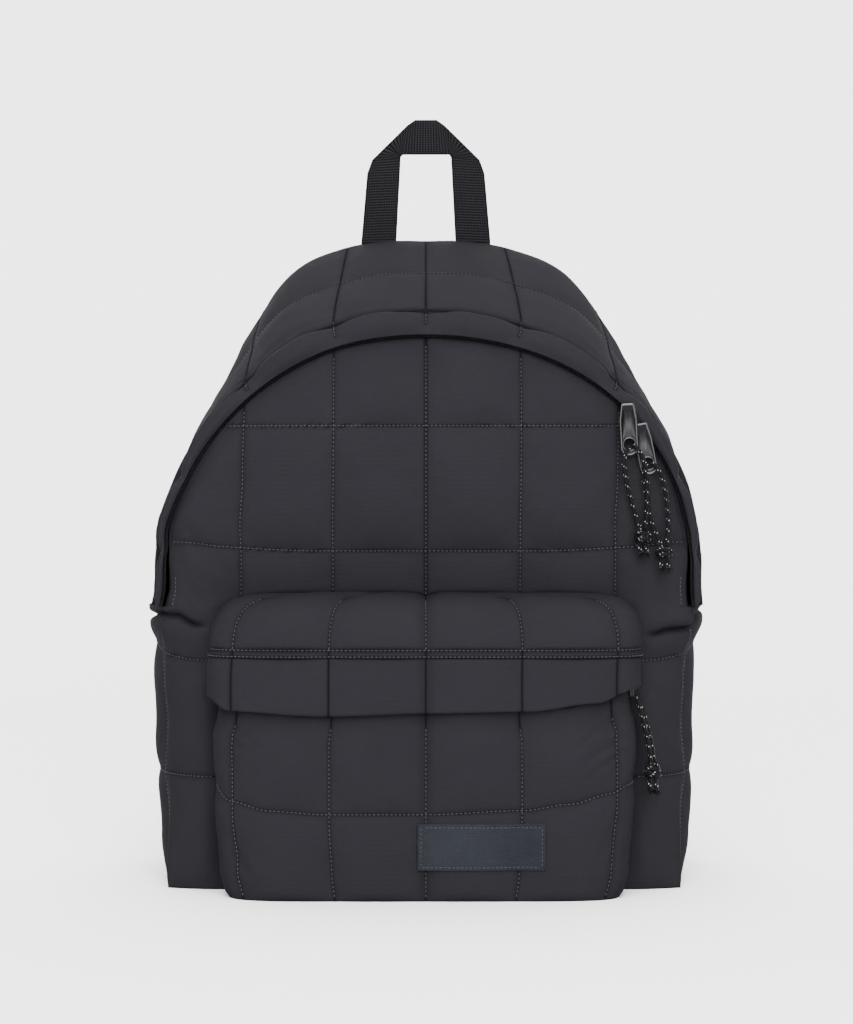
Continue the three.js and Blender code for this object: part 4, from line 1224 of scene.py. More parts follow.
class BACKPACK_OT_back(bpy.types.Operator):
    """Padded back panel and the base"""
    bl_idname = "backpack.back"
    bl_label = "Back and base"

    def execute(self, context):
        self.back()
        self.base()
        return {"FINISHED"}

    def outline(self, count=120):
        low_heights = np.linspace(0, 0.97, 40) * ZIP_END
        low = wall_point(np.full(40, 3.0), low_heights)[:, [0, 2]]
        high = back_point(np.linspace(90, 0, count))
        right = np.concatenate([low, high])
        left = right[-2::-1] * np.array([-1, 1])
        return np.concatenate([right, left])

    def back(self):
        ring = self.outline()
        centre = np.array([0.0, BAG_HEIGHT * 0.46])
        front = REAR_DEPTH + SEAT
        rings = [(1.0, 0.0), (1.0, BACK_PADDING * 0.55), (0.994, BACK_PADDING * 0.9)]
        rings += [(share, BACK_PADDING) for share in np.linspace(0.955, 0.0, 46)[:-1]]
        points = []
        for share, depth in rings:
            xz = centre + (ring - centre) * share
            height = depth + self.back_relief(xz, share) if share < 0.99 else depth
            points.append(np.stack([xz[:, 0], np.full(len(ring), front) + height, xz[:, 1]], -1))
        middle = np.array([[centre[0], front + BACK_PADDING + 1.2, centre[1]], [centre[0], front, centre[1]]])
        count = len(ring)
        faces = []
        for k in range(len(rings) - 1):
            faces += ring_faces(k * count, (k + 1) * count, count)
        tip = len(rings) * count
        last = tip - count
        for i in range(count):
            j = (i + 1) % count
            faces.append((last + i, last + j, tip))
            faces.append((j, i, tip + 1))
        piece = new_object("back_cloth", np.concatenate([*points, middle]), faces)
        finish_piece(piece, quilt_cloth(), "quilted_cloth", "back_panel")

    def back_relief(self, xz, share):
        edge = smooth(0, 0.06, 0.985 - share)
        rise = pillow(nearest(xz[:, 0], BACK_CHANNELS), 16) * pillow(nearest(xz[:, 1], BACK_LEVELS), 16)
        return edge * (1.4 * rise - 0.2 + 0.25 * noise(xz[:, 0], xz[:, 1], 30, 91))

    def base(self):
        turns = np.linspace(-3, 3, 240)
        ring = wall_point(turns, 0.0, sizes().wall / MM + SEAT)[:, :2]
        ring[:, 1] = np.minimum(ring[:, 1], REAR_DEPTH)
        count = len(ring)
        levels = ((0.0, 1), (BASE_THICKNESS - 0.4, 1), (BASE_THICKNESS, 0.995))
        points = [(x, y, z) for z, share in levels for x, y in ring * share]
        faces = [tuple(range(count))[::-1], tuple(range(2 * count, 3 * count))]
        for k in range(2):
            faces += ring_faces(k * count, (k + 1) * count, count)
        piece = new_object("base_cloth", points, faces, smooth_faces=False)
        finish_piece(piece, quilt_cloth(), "quilted_cloth", "base_panel")


# Front pocket

POCKET_WALL = 4.0
POCKET_BASE_INSET = 4.4
POCKET_TAPE = 1.2
FLAP_WALL = 3.4
# Lengths round it, for the grids of its body, and of its hood and flap
POCKET_LENGTH = 330.0
FLAP_LENGTH = 340.0
POCKET_GRID = 1.8


def pocket_columns():
    return [k * sizes().pitch / MM for k in (-2, -1, 0, 1, 2)]


# Painted shade along the pocket's stitch columns and these rows
def pocket_shade_at(rows, out):
    def shade(turn, row, point):
        across = nearest(pocket_point(turn, 0.0, out)[..., 0], pocket_columns())
        return seam_shade(np.minimum(across, nearest(point[..., 2], rows)))
    return shade


def pocket_relief_at(puff, rows, seed, hem_low, hem_high, out=0.0):
    def relief(turn, row, point):
        across = pocket_point(turn, 0.0, out)[..., 0]
        rise = quilt_relief(across, point[..., 2], quilt_columns(), rows, puff, seed, reach=25)
        side = pillow((1 - np.abs(turn)) * 90, 8)
        ends = pillow(point[..., 2] - hem_low, 6) * pillow(hem_high - point[..., 2], 7)
        return (rise + drag(point[..., 0], point[..., 2], POCKET_DRAGS)) * side * ends
    return relief


# Drag lines on the pocket, from its top corners down and inwards: start and end, then width and depth
POCKET_DRAGS = (
    (112, 99, 84, 84, 3.4, 1.2), (114, 88, 88, 71, 3.6, 1.0), (112, 76, 96, 64, 3, 0.6),
    (108, 108, 88, 97, 2.6, 0.7), (-112, 101, -96, 90, 2.6, 0.8), (-113, 94, -100, 84, 2.4, 0.6),
    (-112, 30, -98, 14, 3.2, 0.6), (112, 34, 100, 18, 3.2, 0.6),
)


def pocket_front_cloth():
    relief = pocket_relief_at(3.0, (-25, POCKET_QUILT, 140), sizes().seed + 40, -0.01, POCKET_TOP + 18)
    shade = pocket_shade_at((POCKET_QUILT,), 0.0)

    def flat(row, point):
        return np.stack([point[..., 0], point[..., 1], row * POCKET_TOP], -1)

    # Painted shade on the pocket just below the flap's lower edge, where the flap overhangs it, together with
    # the painted shade of the stitch grooves
    def gap_shade(turn, row, point):
        flap_edge = POCKET_SEAM - by_height(FLAP_EDGE, point[..., 0], 1)
        under = smooth(-1.6, 0.4, point[..., 2] - flap_edge)
        return np.maximum(shade(turn, row, flat(row, point)), under)

    return Cloth(pocket_front_point, lambda turn, row, point: relief(turn, row, flat(row, point)), gap_shade)


def keep_pocket(points):
    points[..., 1] = np.minimum(points[..., 1], -FRONT_DEPTH - SEAT)
    points[..., 2] = np.maximum(points[..., 2], 0)
    return points


def pocket_turns(count):
    """Turns round the pocket at even distances along its path."""
    fine = np.linspace(-1, 1, 4001)
    return spread_evenly(fine, pocket_point(fine, 0.0, 0.0), count)


def pocket_turn_at(x, out=0.0):
    share = np.abs(x) / (POCKET_HALF + out)
    return np.sign(x) * np.arcsin(share ** (POCKET_POWER / 2)) * 2 / np.pi


def pocket_grid(length, out):
    """Turns round the pocket, with three close ones at each stitch line."""
    turns = pocket_turns(grid_steps(length, POCKET_GRID))
    clear = nearest(pocket_point(turns, 0.0, out)[:, 0], pocket_columns()) > 1.6 * SEAM_SPREAD
    close = [float(pocket_turn_at(column + shift, out)) for column in pocket_columns()
             for shift in (-SEAM_SPREAD, 0, SEAM_SPREAD)]
    return np.unique(np.concatenate([turns[clear], close]))


# Heights of the two stitch rows that hold the hood and the flap together
HOOD_STITCHES = (144.6, 140.9)


def hood_rise(height):
    share = (height - POCKET_SEAM - SEAT + HOOD_OVERLAP) / (HOOD_RISE + HOOD_OVERLAP)
    return math.asin(share ** 1.25) * 2 / math.pi


def column_lines(cloth, out, low, high, count):
    """Stitches of the pocket's upright lines, between two rows of this cloth."""
    rows = np.linspace(low, high, count)
    return [line(cloth, pocket_turn_at(column, out), rows) for column in pocket_columns()]


class BACKPACK_OT_pocket(bpy.types.Operator):
    """Front pocket: its quilted body and base, the hood over it and the flap over its zip"""
    bl_idname = "backpack.pocket"
    bl_label = "Pocket"

    def execute(self, context):
        self.front()
        self.hood()
        self.flap()
        self.base()
        self.tape()
        return {"FINISHED"}

    def front(self):
        cloth = pocket_front_cloth()
        turns = pocket_grid(POCKET_LENGTH, 0.0)
        rows = with_lines(np.linspace(0, 1, grid_steps(POCKET_TOP, POCKET_GRID)), [POCKET_QUILT / POCKET_TOP],
                          SEAM_SPREAD / POCKET_TOP)
        piece = build_shell("pocket_cloth", cloth, turns, rows, POCKET_WALL, keep_pocket)
        finish_piece(piece, quilt_cloth(), "quilted_cloth", "pocket_front")
        turns = pocket_turns(300)[6:-6]
        across = line(cloth, turns, POCKET_QUILT / POCKET_TOP)
        stitches("pocket_stitches", [*column_lines(cloth, 0.0, 0.02, 0.9, 50), across], thread_material())

    def hood(self):
        full = pocket_relief_at(2.4, (60, 300), sizes().seed + 50, POCKET_SEAM - 5, 230, FLAP_REACH)

        def relief(turn, row, point):
            dip = 1 - 0.75 * hump(point[..., 2] - HOOD_STITCHES[0], 1.3)
            return full(turn, row, point) * dip

        cloth = Cloth(hood_point, relief, pocket_shade_at(HOOD_STITCHES, FLAP_REACH))
        turns = pocket_grid(FLAP_LENGTH, FLAP_REACH)
        rises = np.concatenate([np.linspace(0, 0.9, 44), np.linspace(0.91, 0.985, 10), [1.0]])
        rises = with_lines(rises, [hood_rise(height) for height in HOOD_STITCHES], 0.008)

        def keep(points):
            points[..., 2] = np.maximum(points[..., 2], POCKET_SEAM + SEAT - HOOD_OVERLAP)
            return keep_pocket(points)

        piece = build_shell("pocket_hood_cloth", cloth, turns, rises, POCKET_WALL, keep)
        finish_piece(piece, quilt_cloth(), "quilted_cloth", "pocket_hood")
        turns = pocket_turns(300)[3:-3]
        across = [line(cloth, turns, hood_rise(height)) for height in HOOD_STITCHES]
        found = column_lines(cloth, FLAP_REACH, 0.05, 0.8, 50) + across
        stitches("hood_stitches", found, thread_material())

    def flap(self):
        low = POCKET_SEAM - FLAP_DROP
        full = pocket_relief_at(1.9, (60, 300), sizes().seed + 60, low - 4, POCKET_SEAM + 1, FLAP_REACH)
        cloth = Cloth(flap_point, lambda turn, row, point: full(turn, row, point) + 0.4 * row,
                      pocket_shade_at((0,), FLAP_REACH))
        turns = pocket_grid(FLAP_LENGTH, FLAP_REACH)
        piece = build_shell("pocket_flap_cloth", cloth, turns, np.linspace(1, 0, 20), FLAP_WALL, keep_pocket)
        finish_piece(piece, quilt_cloth(), "quilted_cloth", "pocket_flap")
        stitches("flap_stitches", column_lines(cloth, FLAP_REACH, 0.95, 0.04, 30), thread_material())

    def base(self):
        turns = pocket_turns(160)
        ring = pocket_front_point(turns, np.zeros(160))[:, :2]
        ring[:, 0] = np.sign(ring[:, 0]) * np.maximum(np.abs(ring[:, 0]) - POCKET_BASE_INSET, 0)
        ring[:, 1] = np.minimum(ring[:, 1] + POCKET_BASE_INSET, -FRONT_DEPTH - SEAT)
        count = len(ring)
        points = [(x, y, z) for z in (0.0, BASE_THICKNESS) for x, y in ring]
        faces = [tuple(range(count))[::-1], tuple(range(count, 2 * count)), *ring_faces(0, count, count)]
        piece = new_object("pocket_base_cloth", points, faces, smooth_faces=False)
        finish_piece(piece, quilt_cloth(), "quilted_cloth", "pocket_base")

    def tape(self):
        turns = pocket_turns(160)
        shares = np.linspace(0, 1, 10)
        grid_u, share = np.meshgrid(turns, shares, indexing="ij")
        low = POCKET_TOP + SEAT + by_height(POCKET_EDGE, pocket_point(grid_u, 0.0, 0.0)[..., 0], 1)
        grid_v = low + (POCKET_SEAM - HOOD_OVERLAP - 2 - low) * share
        outer = pocket_point(grid_u, grid_v, -POCKET_RECESS)
        inner = keep_pocket(pocket_point(grid_u, grid_v, -POCKET_RECESS - POCKET_TAPE))
        piece = shell("pocket_tape", outer, inner)
        finish_piece(piece, tape_material(), "zip_tape", "pocket_zipper")


# Tubes, boxes and plates

def blend(at, low, high, first, second):
    return (high - at) / (high - low) * first + (at - low) / (high - low) * second


def curve_through(points, spacing):
    """Centripetal Catmull-Rom through a few points, at about even distances."""
    points = np.asarray(points, float)
    padded = np.concatenate([[2 * points[0] - points[1]], points, [2 * points[-1] - points[-2]]])
    found = []
    for k in range(1, len(padded) - 2):
        p = padded[k - 1:k + 3]
        knots = np.concatenate([[0], np.cumsum(np.sqrt(np.linalg.norm(np.diff(p, axis=0), axis=1)))])
        t = np.linspace(knots[1], knots[2], 16, endpoint=False)[:, None]
        a = [blend(t, knots[i], knots[i + 1], p[i], p[i + 1]) for i in range(3)]
        b = [blend(t, knots[i], knots[i + 2], a[i], a[i + 1]) for i in range(2)]
        found.append(blend(t, knots[1], knots[2], b[0], b[1]))
    return evenly(np.concatenate(found + [points[-1:]]), spacing)


def evenly(points, spacing):
    along = distances(points)
    count = max(int(round(along[-1] / spacing)), 2)
    return sample(points, along, np.linspace(0, along[-1], count + 1))


# Length in which a cord's braid winds once, and the number of its ridges
BRAID_PITCH = 2.6
BRAID_RIDGES = 3


def tube(points, radius, sides=14, braid=0.0):
    """Points, faces and texture places of a round tube; a braid gives it crossing diagonal ridges."""
    points = np.asarray(points, float)
    count = len(points)
    tangents = unit(np.gradient(points, axis=0))
    sideways = [unit(np.cross(tangents[0], (0.3, 0.9, 0.1)))]
    for tangent in tangents[1:]:
        sideways.append(unit(sideways[-1] - tangent * np.dot(sideways[-1], tangent)))
    side = np.array(sideways)
    other = np.cross(tangents, side)
    along = distances(points)
    turn = np.arange(sides) * 2 * np.pi / sides
    size = np.broadcast_to(np.asarray(radius, float), (count,))[:, None] * np.ones(sides)
    if braid:
        wind = along[:, None] * 2 * np.pi / BRAID_PITCH
        size = size + braid * np.sin(BRAID_RIDGES * turn + wind) * np.sin(BRAID_RIDGES * turn - wind)
    ring = points[:, None] + size[..., None] * (np.cos(turn)[None, :, None] * side[:, None]
                                                + np.sin(turn)[None, :, None] * other[:, None])
    faces = []
    for k in range(count - 1):
        faces += ring_faces(k * sides, (k + 1) * sides, sides)
    faces.append(tuple(reversed(range(sides))))
    faces.append(tuple((count - 1) * sides + s for s in range(sides)))
    places = np.stack([np.repeat(along, sides), np.tile(turn, count)], -1)
    return ring.reshape(-1, 3), faces, places


def join_parts(name, parts, smooth_faces=True):
    """One mesh out of (points, faces) or (points, faces, places) parts; places go to the texture map."""
    points = []
    faces = []
    places = []
    for part in parts:
        start = sum(len(p) for p in points)
        points.append(np.asarray(part[0], float))
        faces += [tuple(start + i for i in face) for face in part[1]]
        places.append(np.asarray(part[2], float) if len(part) > 2 else np.zeros((len(part[0]), 2)))
    piece = new_object(name, np.concatenate(points), faces, smooth_faces)
    stacked = np.concatenate(places)
    layer = piece.data.uv_layers.new(name="along")
    corners = np.empty(len(piece.data.loops), int)
    piece.data.loops.foreach_get("vertex_index", corners)
    layer.data.foreach_set("uv", stacked[corners].astype(np.float32).ravel())
    return piece


def rounded_box(size, radius, centre=(0, 0, 0), turn=0.0, cuts=6):
    """A box with rounded edges; turn is its angle in degrees about the Y axis."""
    half = np.array(size, float) / 2
    radius = min(radius, *half)
    steps_along = [np.unique(np.concatenate([
        np.linspace(-h, radius - h, cuts),
        np.linspace(radius - h, h - radius, 4),
        np.linspace(h - radius, h, cuts),
    ])) for h in half]
    index = {}
    points = []
    faces = []

    def vertex(point):
        key = tuple(round(float(value), 6) for value in point)
        if key not in index:
            index[key] = len(points)
            core = np.clip(point, -half + radius, half - radius)
            out = point - core
            length = np.linalg.norm(out)
            points.append(core + out / length * radius if length > 1e-9 else core)
        return index[key]

    for axis in range(3):
        u, v = [k for k in range(3) if k != axis]
        for sign in (-1, 1):
            for i in range(len(steps_along[u]) - 1):
                for j in range(len(steps_along[v]) - 1):
                    corners = []
                    for a, b in ((i, j), (i + 1, j), (i + 1, j + 1), (i, j + 1)):
                        point = np.zeros(3)
                        point[axis] = sign * half[axis]
                        point[u] = steps_along[u][a]
                        point[v] = steps_along[v][b]
                        corners.append(vertex(point))
                    flip = (sign > 0) == (axis == 1)
                    faces.append(tuple(corners[::-1] if flip else corners))
    return turned(np.array(points), turn) + np.array(centre, float), faces


def strip(path_left, path_right, thickness, relief, count_across=12, out=(0, -1, 0)):
    """A flat band between two edge paths, with its relief on both faces and rounded edges."""
    left = np.asarray(path_left, float)
    right = np.asarray(path_right, float)
    shares = (1 - np.cos(np.linspace(0, np.pi, count_across + 1))) / 2
    centre = left[:, None] * (1 - shares)[None, :, None] + right[:, None] * shares[None, :, None]
    edge = np.sqrt(np.clip(1 - np.abs(shares * 2 - 1) ** 12, 0, 1))
    width = np.linalg.norm(right - left, axis=1)
    s = np.repeat(distances((left + right) / 2)[:, None], len(shares), 1)
    t = width[:, None] * shares[None, :]
    lift = (thickness / 2 + relief(s, t)) * edge[None, :]
    direction = np.asarray(out, float)
    direction = direction if direction.ndim == 1 else direction[:, None]
    front = centre + direction * lift[..., None]
    back = centre - direction * lift[..., None]
    return front, back, s, t


def grid_part(front, back, s, t):
    """A closed band from its two faces, whose long edges already meet."""
    faces = shell_faces(np.ones(np.array(s.shape) - 1, bool)).tolist()
    points = np.concatenate([front.reshape(-1, 3), back.reshape(-1, 3)])
    places = np.stack([np.tile(s.ravel(), 2), np.tile(t.ravel(), 2)], -1)
    return points, faces, places


# Zip and pulls, in the same numbers as the solids

TAPE_FRONT = -FRONT_DEPTH + 1.3
TAPE_THICKNESS = 2.5
TAPE_RISE = 0.5
TAB_CLEAR = 7.0
TAB_WIDTH = 10.8
TAB_LENGTH = 31.0
TAB_THICKNESS = 1.6
TAB_HOLE = 3.7
SLIDER_WIDTH = 8.0
SLIDER_HEIGHT = ZIP_SEAM - 0.9
SLIDER_ROUNDING = 0.7
BRIDGE_WIDTH = 3.2
POCKET_SLIDER = (3.2, 8, 12)
COIL_REACH = 0.6
# name, place on the arch, lean of the tab, how far it stands in front of the other's and above the seam
PULLS = (("front", 44.8, 3, 2.2, 3.0), ("rear", 49.2, 11, 0.0, 0.0))
TOOTH_PITCH = 1.7


def arch_place(angle, grow, y):
    x, z = np.moveaxis(arch_point(angle, grow), -1, 0)
    return np.stack([x, np.full(np.shape(x), y), z], -1)


def tab_outline(count=88):
    """Outline of a tab, from its top: x to the right and z up, with the top's middle at the origin."""
    half = TAB_WIDTH / 2
    top = half * 0.76
    turn = np.linspace(0, -np.pi, 25)
    low = np.stack([half * np.cos(turn), -TAB_LENGTH + half + half * np.sin(turn)], -1)
    corners = np.concatenate([[[0, 0], [top - 0.8, 0], [top, -0.8], [half, -TAB_LENGTH * 0.3]], low,
                              [[-half, -TAB_LENGTH * 0.3], [-top, -0.8], [-top + 0.8, 0], [0, 0]]])
    along = distances(corners)
    return sample(corners, along, np.linspace(0, along[-1], count, endpoint=False))


def inset_outline(outline, by):
    ahead = np.roll(outline, -1, axis=0) - np.roll(outline, 1, axis=0)
    return outline + unit(np.stack([ahead[:, 1], -ahead[:, 0]], -1)) * by


def pull_place(angle, forward, rise):
    """Where a tab hangs: at its place on the arch, moved with the cloth's lean."""
    x, z = arch_point(float(angle))
    return lean(np.array([[x, -FRONT_DEPTH - TAB_CLEAR - forward, z + rise]]))[0]


# Rings of a tab's section, each with its depth and its share of painted highlight: first round the hole,
# by how far they stand out from it, then inwards from the outline
HOLE_RINGS = (
    (0.0, 0.5, 0), (0.0, TAB_THICKNESS - 0.35, 0.3), (0.35, TAB_THICKNESS - 0.02, 0.8),
    (0.8, TAB_THICKNESS - 0.1, 0.6), (1.0, TAB_THICKNESS - 0.42, 0),
)
EDGE_RINGS = (
    (1.5, TAB_THICKNESS - 0.42, 0), (1.15, TAB_THICKNESS - 0.05, 0.7), (0.75, TAB_THICKNESS + 0.06, 1),
    (0.35, TAB_THICKNESS - 0.1, 0.8), (0.0, TAB_THICKNESS - 0.55, 0.2), (0.0, 0.35, 0), (0.35, 0.0, 0),
)


def tab_part(pull):
    """A pressed tab: a flat face in a raised rim, a round hole with a rolled edge, a plain back."""
    _, angle, lean_angle, forward, rise = pull
    outline = tab_outline()
    hole_at = np.array([0, -TAB_LENGTH + TAB_WIDTH / 2 + 1.4])
    ways = unit(outline - hole_at)
    rings = [(hole_at + ways * (TAB_HOLE + grow - 0.35), depth, highlight_share) for grow, depth, highlight_share in HOLE_RINGS]
    rings += [(inset_outline(outline, inset), depth, highlight_share) for inset, depth, highlight_share in EDGE_RINGS]
    rings.append((hole_at + ways * (TAB_HOLE + 0.35), 0.0, 0))
    points = np.concatenate([np.stack([ring[:, 0], np.full(len(ring), -depth), ring[:, 1]], -1)
                             for ring, depth, _ in rings])
    count = len(outline)
    faces = []
    for k in range(len(rings)):
        faces += ring_faces(k * count, (k + 1) % len(rings) * count, count)
    # Each point's share of painted highlight, which goes to the tab's rim attribute
    rim = np.repeat([float(highlight_share) for _, _, highlight_share in rings], count)
    return turned(points, -lean_angle) + pull_place(angle, forward, rise), faces, np.stack([rim, rim], -1)


def slider_part(pull):
    """The slider's body in the seam, with the bridge that holds its tab."""
    _, angle, _, forward, _ = pull
    x, z = arch_point(float(angle), -PANEL_GAP / 2)
    x = lean(np.array([[x, 0.0, z]]))[0, 0]
    step = arch_point(angle - 1.0) - arch_point(angle + 1.0)
    turn = math.degrees(math.atan2(step[1], -step[0]))
    front = -FRONT_DEPTH - TAB_CLEAR - forward + SEAT
    rear = TAPE_FRONT - SEAT
    deep = rear - front
    body = rounded_box((SLIDER_WIDTH, deep * 0.55, SLIDER_HEIGHT), SLIDER_ROUNDING,
                       (x, rear - deep * 0.275, z), turn)
    bridge = rounded_box((BRIDGE_WIDTH, deep * 0.62, SLIDER_HEIGHT), SLIDER_ROUNDING,
                         (x, front + deep * 0.31, z), turn)
    return [body, bridge]


class BACKPACK_OT_zip(bpy.types.Operator):
    """Zip tape with its coil, the two sliders and their tabs"""
    bl_idname = "backpack.zip"
    bl_label = "Zip and tabs"

    def execute(self, context):
        self.tape()
        self.coil()
        for pull in PULLS:
            slider = join_parts(f"slider_{pull[0]}", slider_part(pull))
            finish_piece(slider, metal_material(), "tab_metal", f"zip_slider_{pull[0]}")
            part = tab_part(pull)
            tab = join_parts(f"tab_{pull[0]}", [part])
            # The rim attribute holds the tab's painted highlight shares for its metal's colour
            mark(tab, "rim", part[2][:, 0])
            finish_piece(tab, metal_material(), "tab_metal", f"pull_tab_{pull[0]}")
        self.pocket_slider()
        return {"FINISHED"}

    def tape(self):
        angles = even_angles(260)
        rises = np.linspace(-PANEL_GAP + SEAT, TAPE_RISE, 8)
        grid_a, grid_r = np.meshgrid(angles, rises, indexing="ij")
        outer = arch_place(grid_a, grid_r, TAPE_FRONT)
        outer[..., 2] = np.maximum(outer[..., 2], ZIP_END + SEAT)
        inner = outer + np.array([0, TAPE_THICKNESS, 0])
        piece = shell("zip_tape", lean(outer), lean(inner))
        finish_piece(piece, tape_material(), "zip_tape", "main_zipper")

    def coil(self):
        """The coil's turns, which show as small ribs across the seam."""
        path = arch_place(even_angles(1200)[8:-8], -PANEL_GAP / 2, TAPE_FRONT - 0.4)
        path = evenly(path, TOOTH_PITCH / 2)
        parts = []
        for k in range(0, len(path) - 2, 2):
            ahead = path[k + 1] - path[k]
            across = unit(np.cross(ahead, (0, 1, 0)))
            ends = np.array([path[k] - across * COIL_REACH, path[k], path[k] + across * COIL_REACH])
            ends[1, 1] -= 0.5
            parts.append(tube(lean(ends), (0.25, 0.36, 0.25), sides=6))
        piece = join_parts("zip_coil", parts)
        finish_piece(piece, coil_material(), "zip_tape")

    def pocket_slider(self):
        middle = (POCKET_HALF - POCKET_RECESS + POCKET_HALF) / 2 + 0.1
        part = rounded_box(POCKET_SLIDER, 1.2, (middle, -FRONT_DEPTH - POCKET_DEPTH / 2, POCKET_TOP + 10))
        finish_piece(join_parts("slider_pocket", [part]), metal_material(), "tab_metal", "pocket_slider")


# Cord routes as in the solids: from the top of a tab or the flap's lower end, in shares of one drop.
# Columns are across to the right, out of the front, and down.
CORD_DROP = 50.0
CORD_ROUTES = {
    "pull_cord_a": ("front", (
        (0.02, 0.064, 0.52), (-0.03, 0.088, 0.6), (-0.045, 0.088, 0.7), (-0.03, 0.068, 0.81),
        (-0.002, 0.052, 0.97), (0.044, 0.044, 1.14), (0.098, 0.044, 1.32), (0.15, 0.048, 1.47),
    )),
    "pull_cord_b": ("front", (
        (0.066, 0.066, 0.49), (0.13, 0.104, 0.56), (0.178, 0.124, 0.655), (0.208, 0.122, 0.78),
        (0.229, 0.118, 0.95), (0.228, 0.11, 1.12), (0.222, 0.085, 1.3), (0.212, 0.056, 1.47),
    )),
    "pull_cord_c": ("rear", (
        (0.07, 0.068, 0.475), (0.035, 0.08, 0.555), (0.035, 0.084, 0.655), (0.06, 0.088, 0.79),
        (0.084, 0.09, 0.94), (0.11, 0.092, 1.09), (0.165, 0.092, 1.26), (0.24, 0.092, 1.43),
    )),
    "pull_cord_d": ("rear", (
        (0.132, 0.068, 0.465), (0.2, 0.08, 0.535), (0.25, 0.084, 0.64), (0.288, 0.084, 0.79),
        (0.312, 0.084, 0.97), (0.323, 0.084, 1.14), (0.32, 0.088, 1.29), (0.305, 0.092, 1.43),
    )),
    "pocket_cord_a": ("pocket", (
        (-0.052, 0.03, 0.056), (-0.012, 0.026, 0.16), (0.028, 0.016, 0.29), (0.06, 0.004, 0.43),
        (0.092, -0.008, 0.57), (0.116, -0.02, 0.71), (0.136, -0.028, 0.83),
    )),
    "pocket_cord_b": ("pocket", (
        (-0.044, -0.028, 0.064), (0.012, -0.034, 0.17), (0.06, -0.042, 0.29), (0.1, -0.054, 0.43),
        (0.136, -0.066, 0.57), (0.16, -0.078, 0.71), (0.178, -0.086, 0.83),
    )),
}
KNOT_CLEAR = 0.45
KNOT_WIDTH = 11.0
KNOT_HEIGHT = 17.0
FRAY_THREADS = 46
# How far the braid's ridges stand up, and the spacing of a cord's rings
BRAID_RISE = 0.09
CORD_STEP = 0.4
# name, the two strands that end in it, width and height as shares
KNOTS = (
    ("pull_knot_front", ("pull_cord_a", "pull_cord_b"), 1.0, 1.0),
    ("pull_knot_rear", ("pull_cord_c", "pull_cord_d"), 1.0, 0.92),
    ("pocket_knot", ("pocket_cord_a", "pocket_cord_b"), 0.95, 1.15),
)
# The knot's turns as shares of its width and height: one strand that winds over and under itself
KNOT_TURNS = (
    (-0.16, 0.02, 0.02), (-0.3, -0.2, -0.1), (0.0, -0.36, -0.16), (0.34, -0.14, -0.2), (0.26, 0.26, -0.24),
    (-0.14, 0.34, -0.22), (-0.38, 0.04, -0.26), (-0.16, -0.34, -0.32), (0.26, -0.3, -0.34),
    (0.36, 0.12, -0.38), (0.02, 0.34, -0.4), (-0.32, 0.16, -0.4), (-0.26, -0.2, -0.36), (0.08, -0.3, -0.26),
    (0.26, -0.02, -0.14), (0.16, 0.0, 0.02),
)


def cord_start(source):
    for name, angle, _, forward, rise in PULLS:
        if name == source:
            return pull_place(angle, forward, rise)
    low = POCKET_SEAM - FLAP_DROP + FLAP_END_LIFT
    return np.array([POCKET_HALF + FLAP_REACH, -FRONT_DEPTH - POCKET_DEPTH / 2, low])


def cord_points(name):
    source, route = CORD_ROUTES[name]
    shares = np.array(route, float)
    return cord_start(source) + shares * np.array([1, -1, -1]) * CORD_DROP


class BACKPACK_OT_cords(bpy.types.Operator):
    """Pull cords, their knots and frayed tails"""
    bl_idname = "backpack.cords"
    bl_label = "Pull cords"

    def execute(self, context):
        for entry in KNOTS:
            knot = self.knot(entry)
            for name in entry[1]:
                self.strand(name, knot)
        return {"FINISHED"}

    def strand(self, name, knot):
        diameter = sizes().cord / MM
        route = curve_through(cord_points(name), CORD_STEP)
        piece = join_parts(f"{name}_braid", [tube(route, diameter / 2, sides=16, braid=BRAID_RISE)])
        finish_piece(piece, cord_material(), "cord_black", name)
        world = to_world(route)
        path = [tuple(point) for point in world[::4]]
        if np.linalg.norm(world[-1] - world[(len(world) - 1) // 4 * 4]) > 1e-6:
            path.append(tuple(world[-1]))

    def knot(self, entry):
        name, strands, wide, tall = entry
        ends = [cord_points(strand)[-1] for strand in strands]
        top = (ends[0] + ends[1]) / 2 - np.array([0, 0, KNOT_CLEAR])
        rng = np.random.default_rng(sizes().seed + len(name))
        size = np.array([KNOT_WIDTH * wide, KNOT_WIDTH * wide * 0.9, KNOT_HEIGHT * tall])
        turns = top + np.array(KNOT_TURNS) * size
        radius = sizes().cord / MM / 2
        parts = [tube(curve_through(turns, CORD_STEP), radius * 1.02, braid=BRAID_RISE)]
        for side in (-1, 1):
            tail = top + np.array([
                (side * 0.08, 0.0, -0.34), (side * 0.16, -0.04 * side, -0.5), (side * 0.2, -0.05, -0.66),
                (side * 0.17 + 0.04, -0.04, -0.8),
            ]) * size
            parts.append(tube(curve_through(tail, CORD_STEP), radius * 0.98, braid=BRAID_RISE))
            parts += self.fray(tail[-1], tail[-1] - tail[-2], rng)
        piece = join_parts(f"{name}_turns", parts)
        finish_piece(piece, cord_material(), "cord_black", name)
        return piece

    def fray(self, root, way, rng):
        """Loose threads that fan out of a cut end."""
        parts = []
        way = unit(way)
        for _ in range(FRAY_THREADS):
            spread = rng.normal(0, 0.5, 3)
            start = root - way * 0.6 + spread * 0.75
            end = start + (way + spread * 0.55) * rng.uniform(1.6, 3.1)
            middle = (start + end) / 2 + rng.normal(0, 0.25, 3)
            parts.append(tube(curve_through([start, middle, end], 0.9), rng.uniform(0.1, 0.17), sides=5))
        return parts


# Handle

HANDLE_RISE = 79.0
HANDLE_HALF = 42.0
WEBBING_WIDTH = 22.8
WEBBING_THICKNESS = 2.4
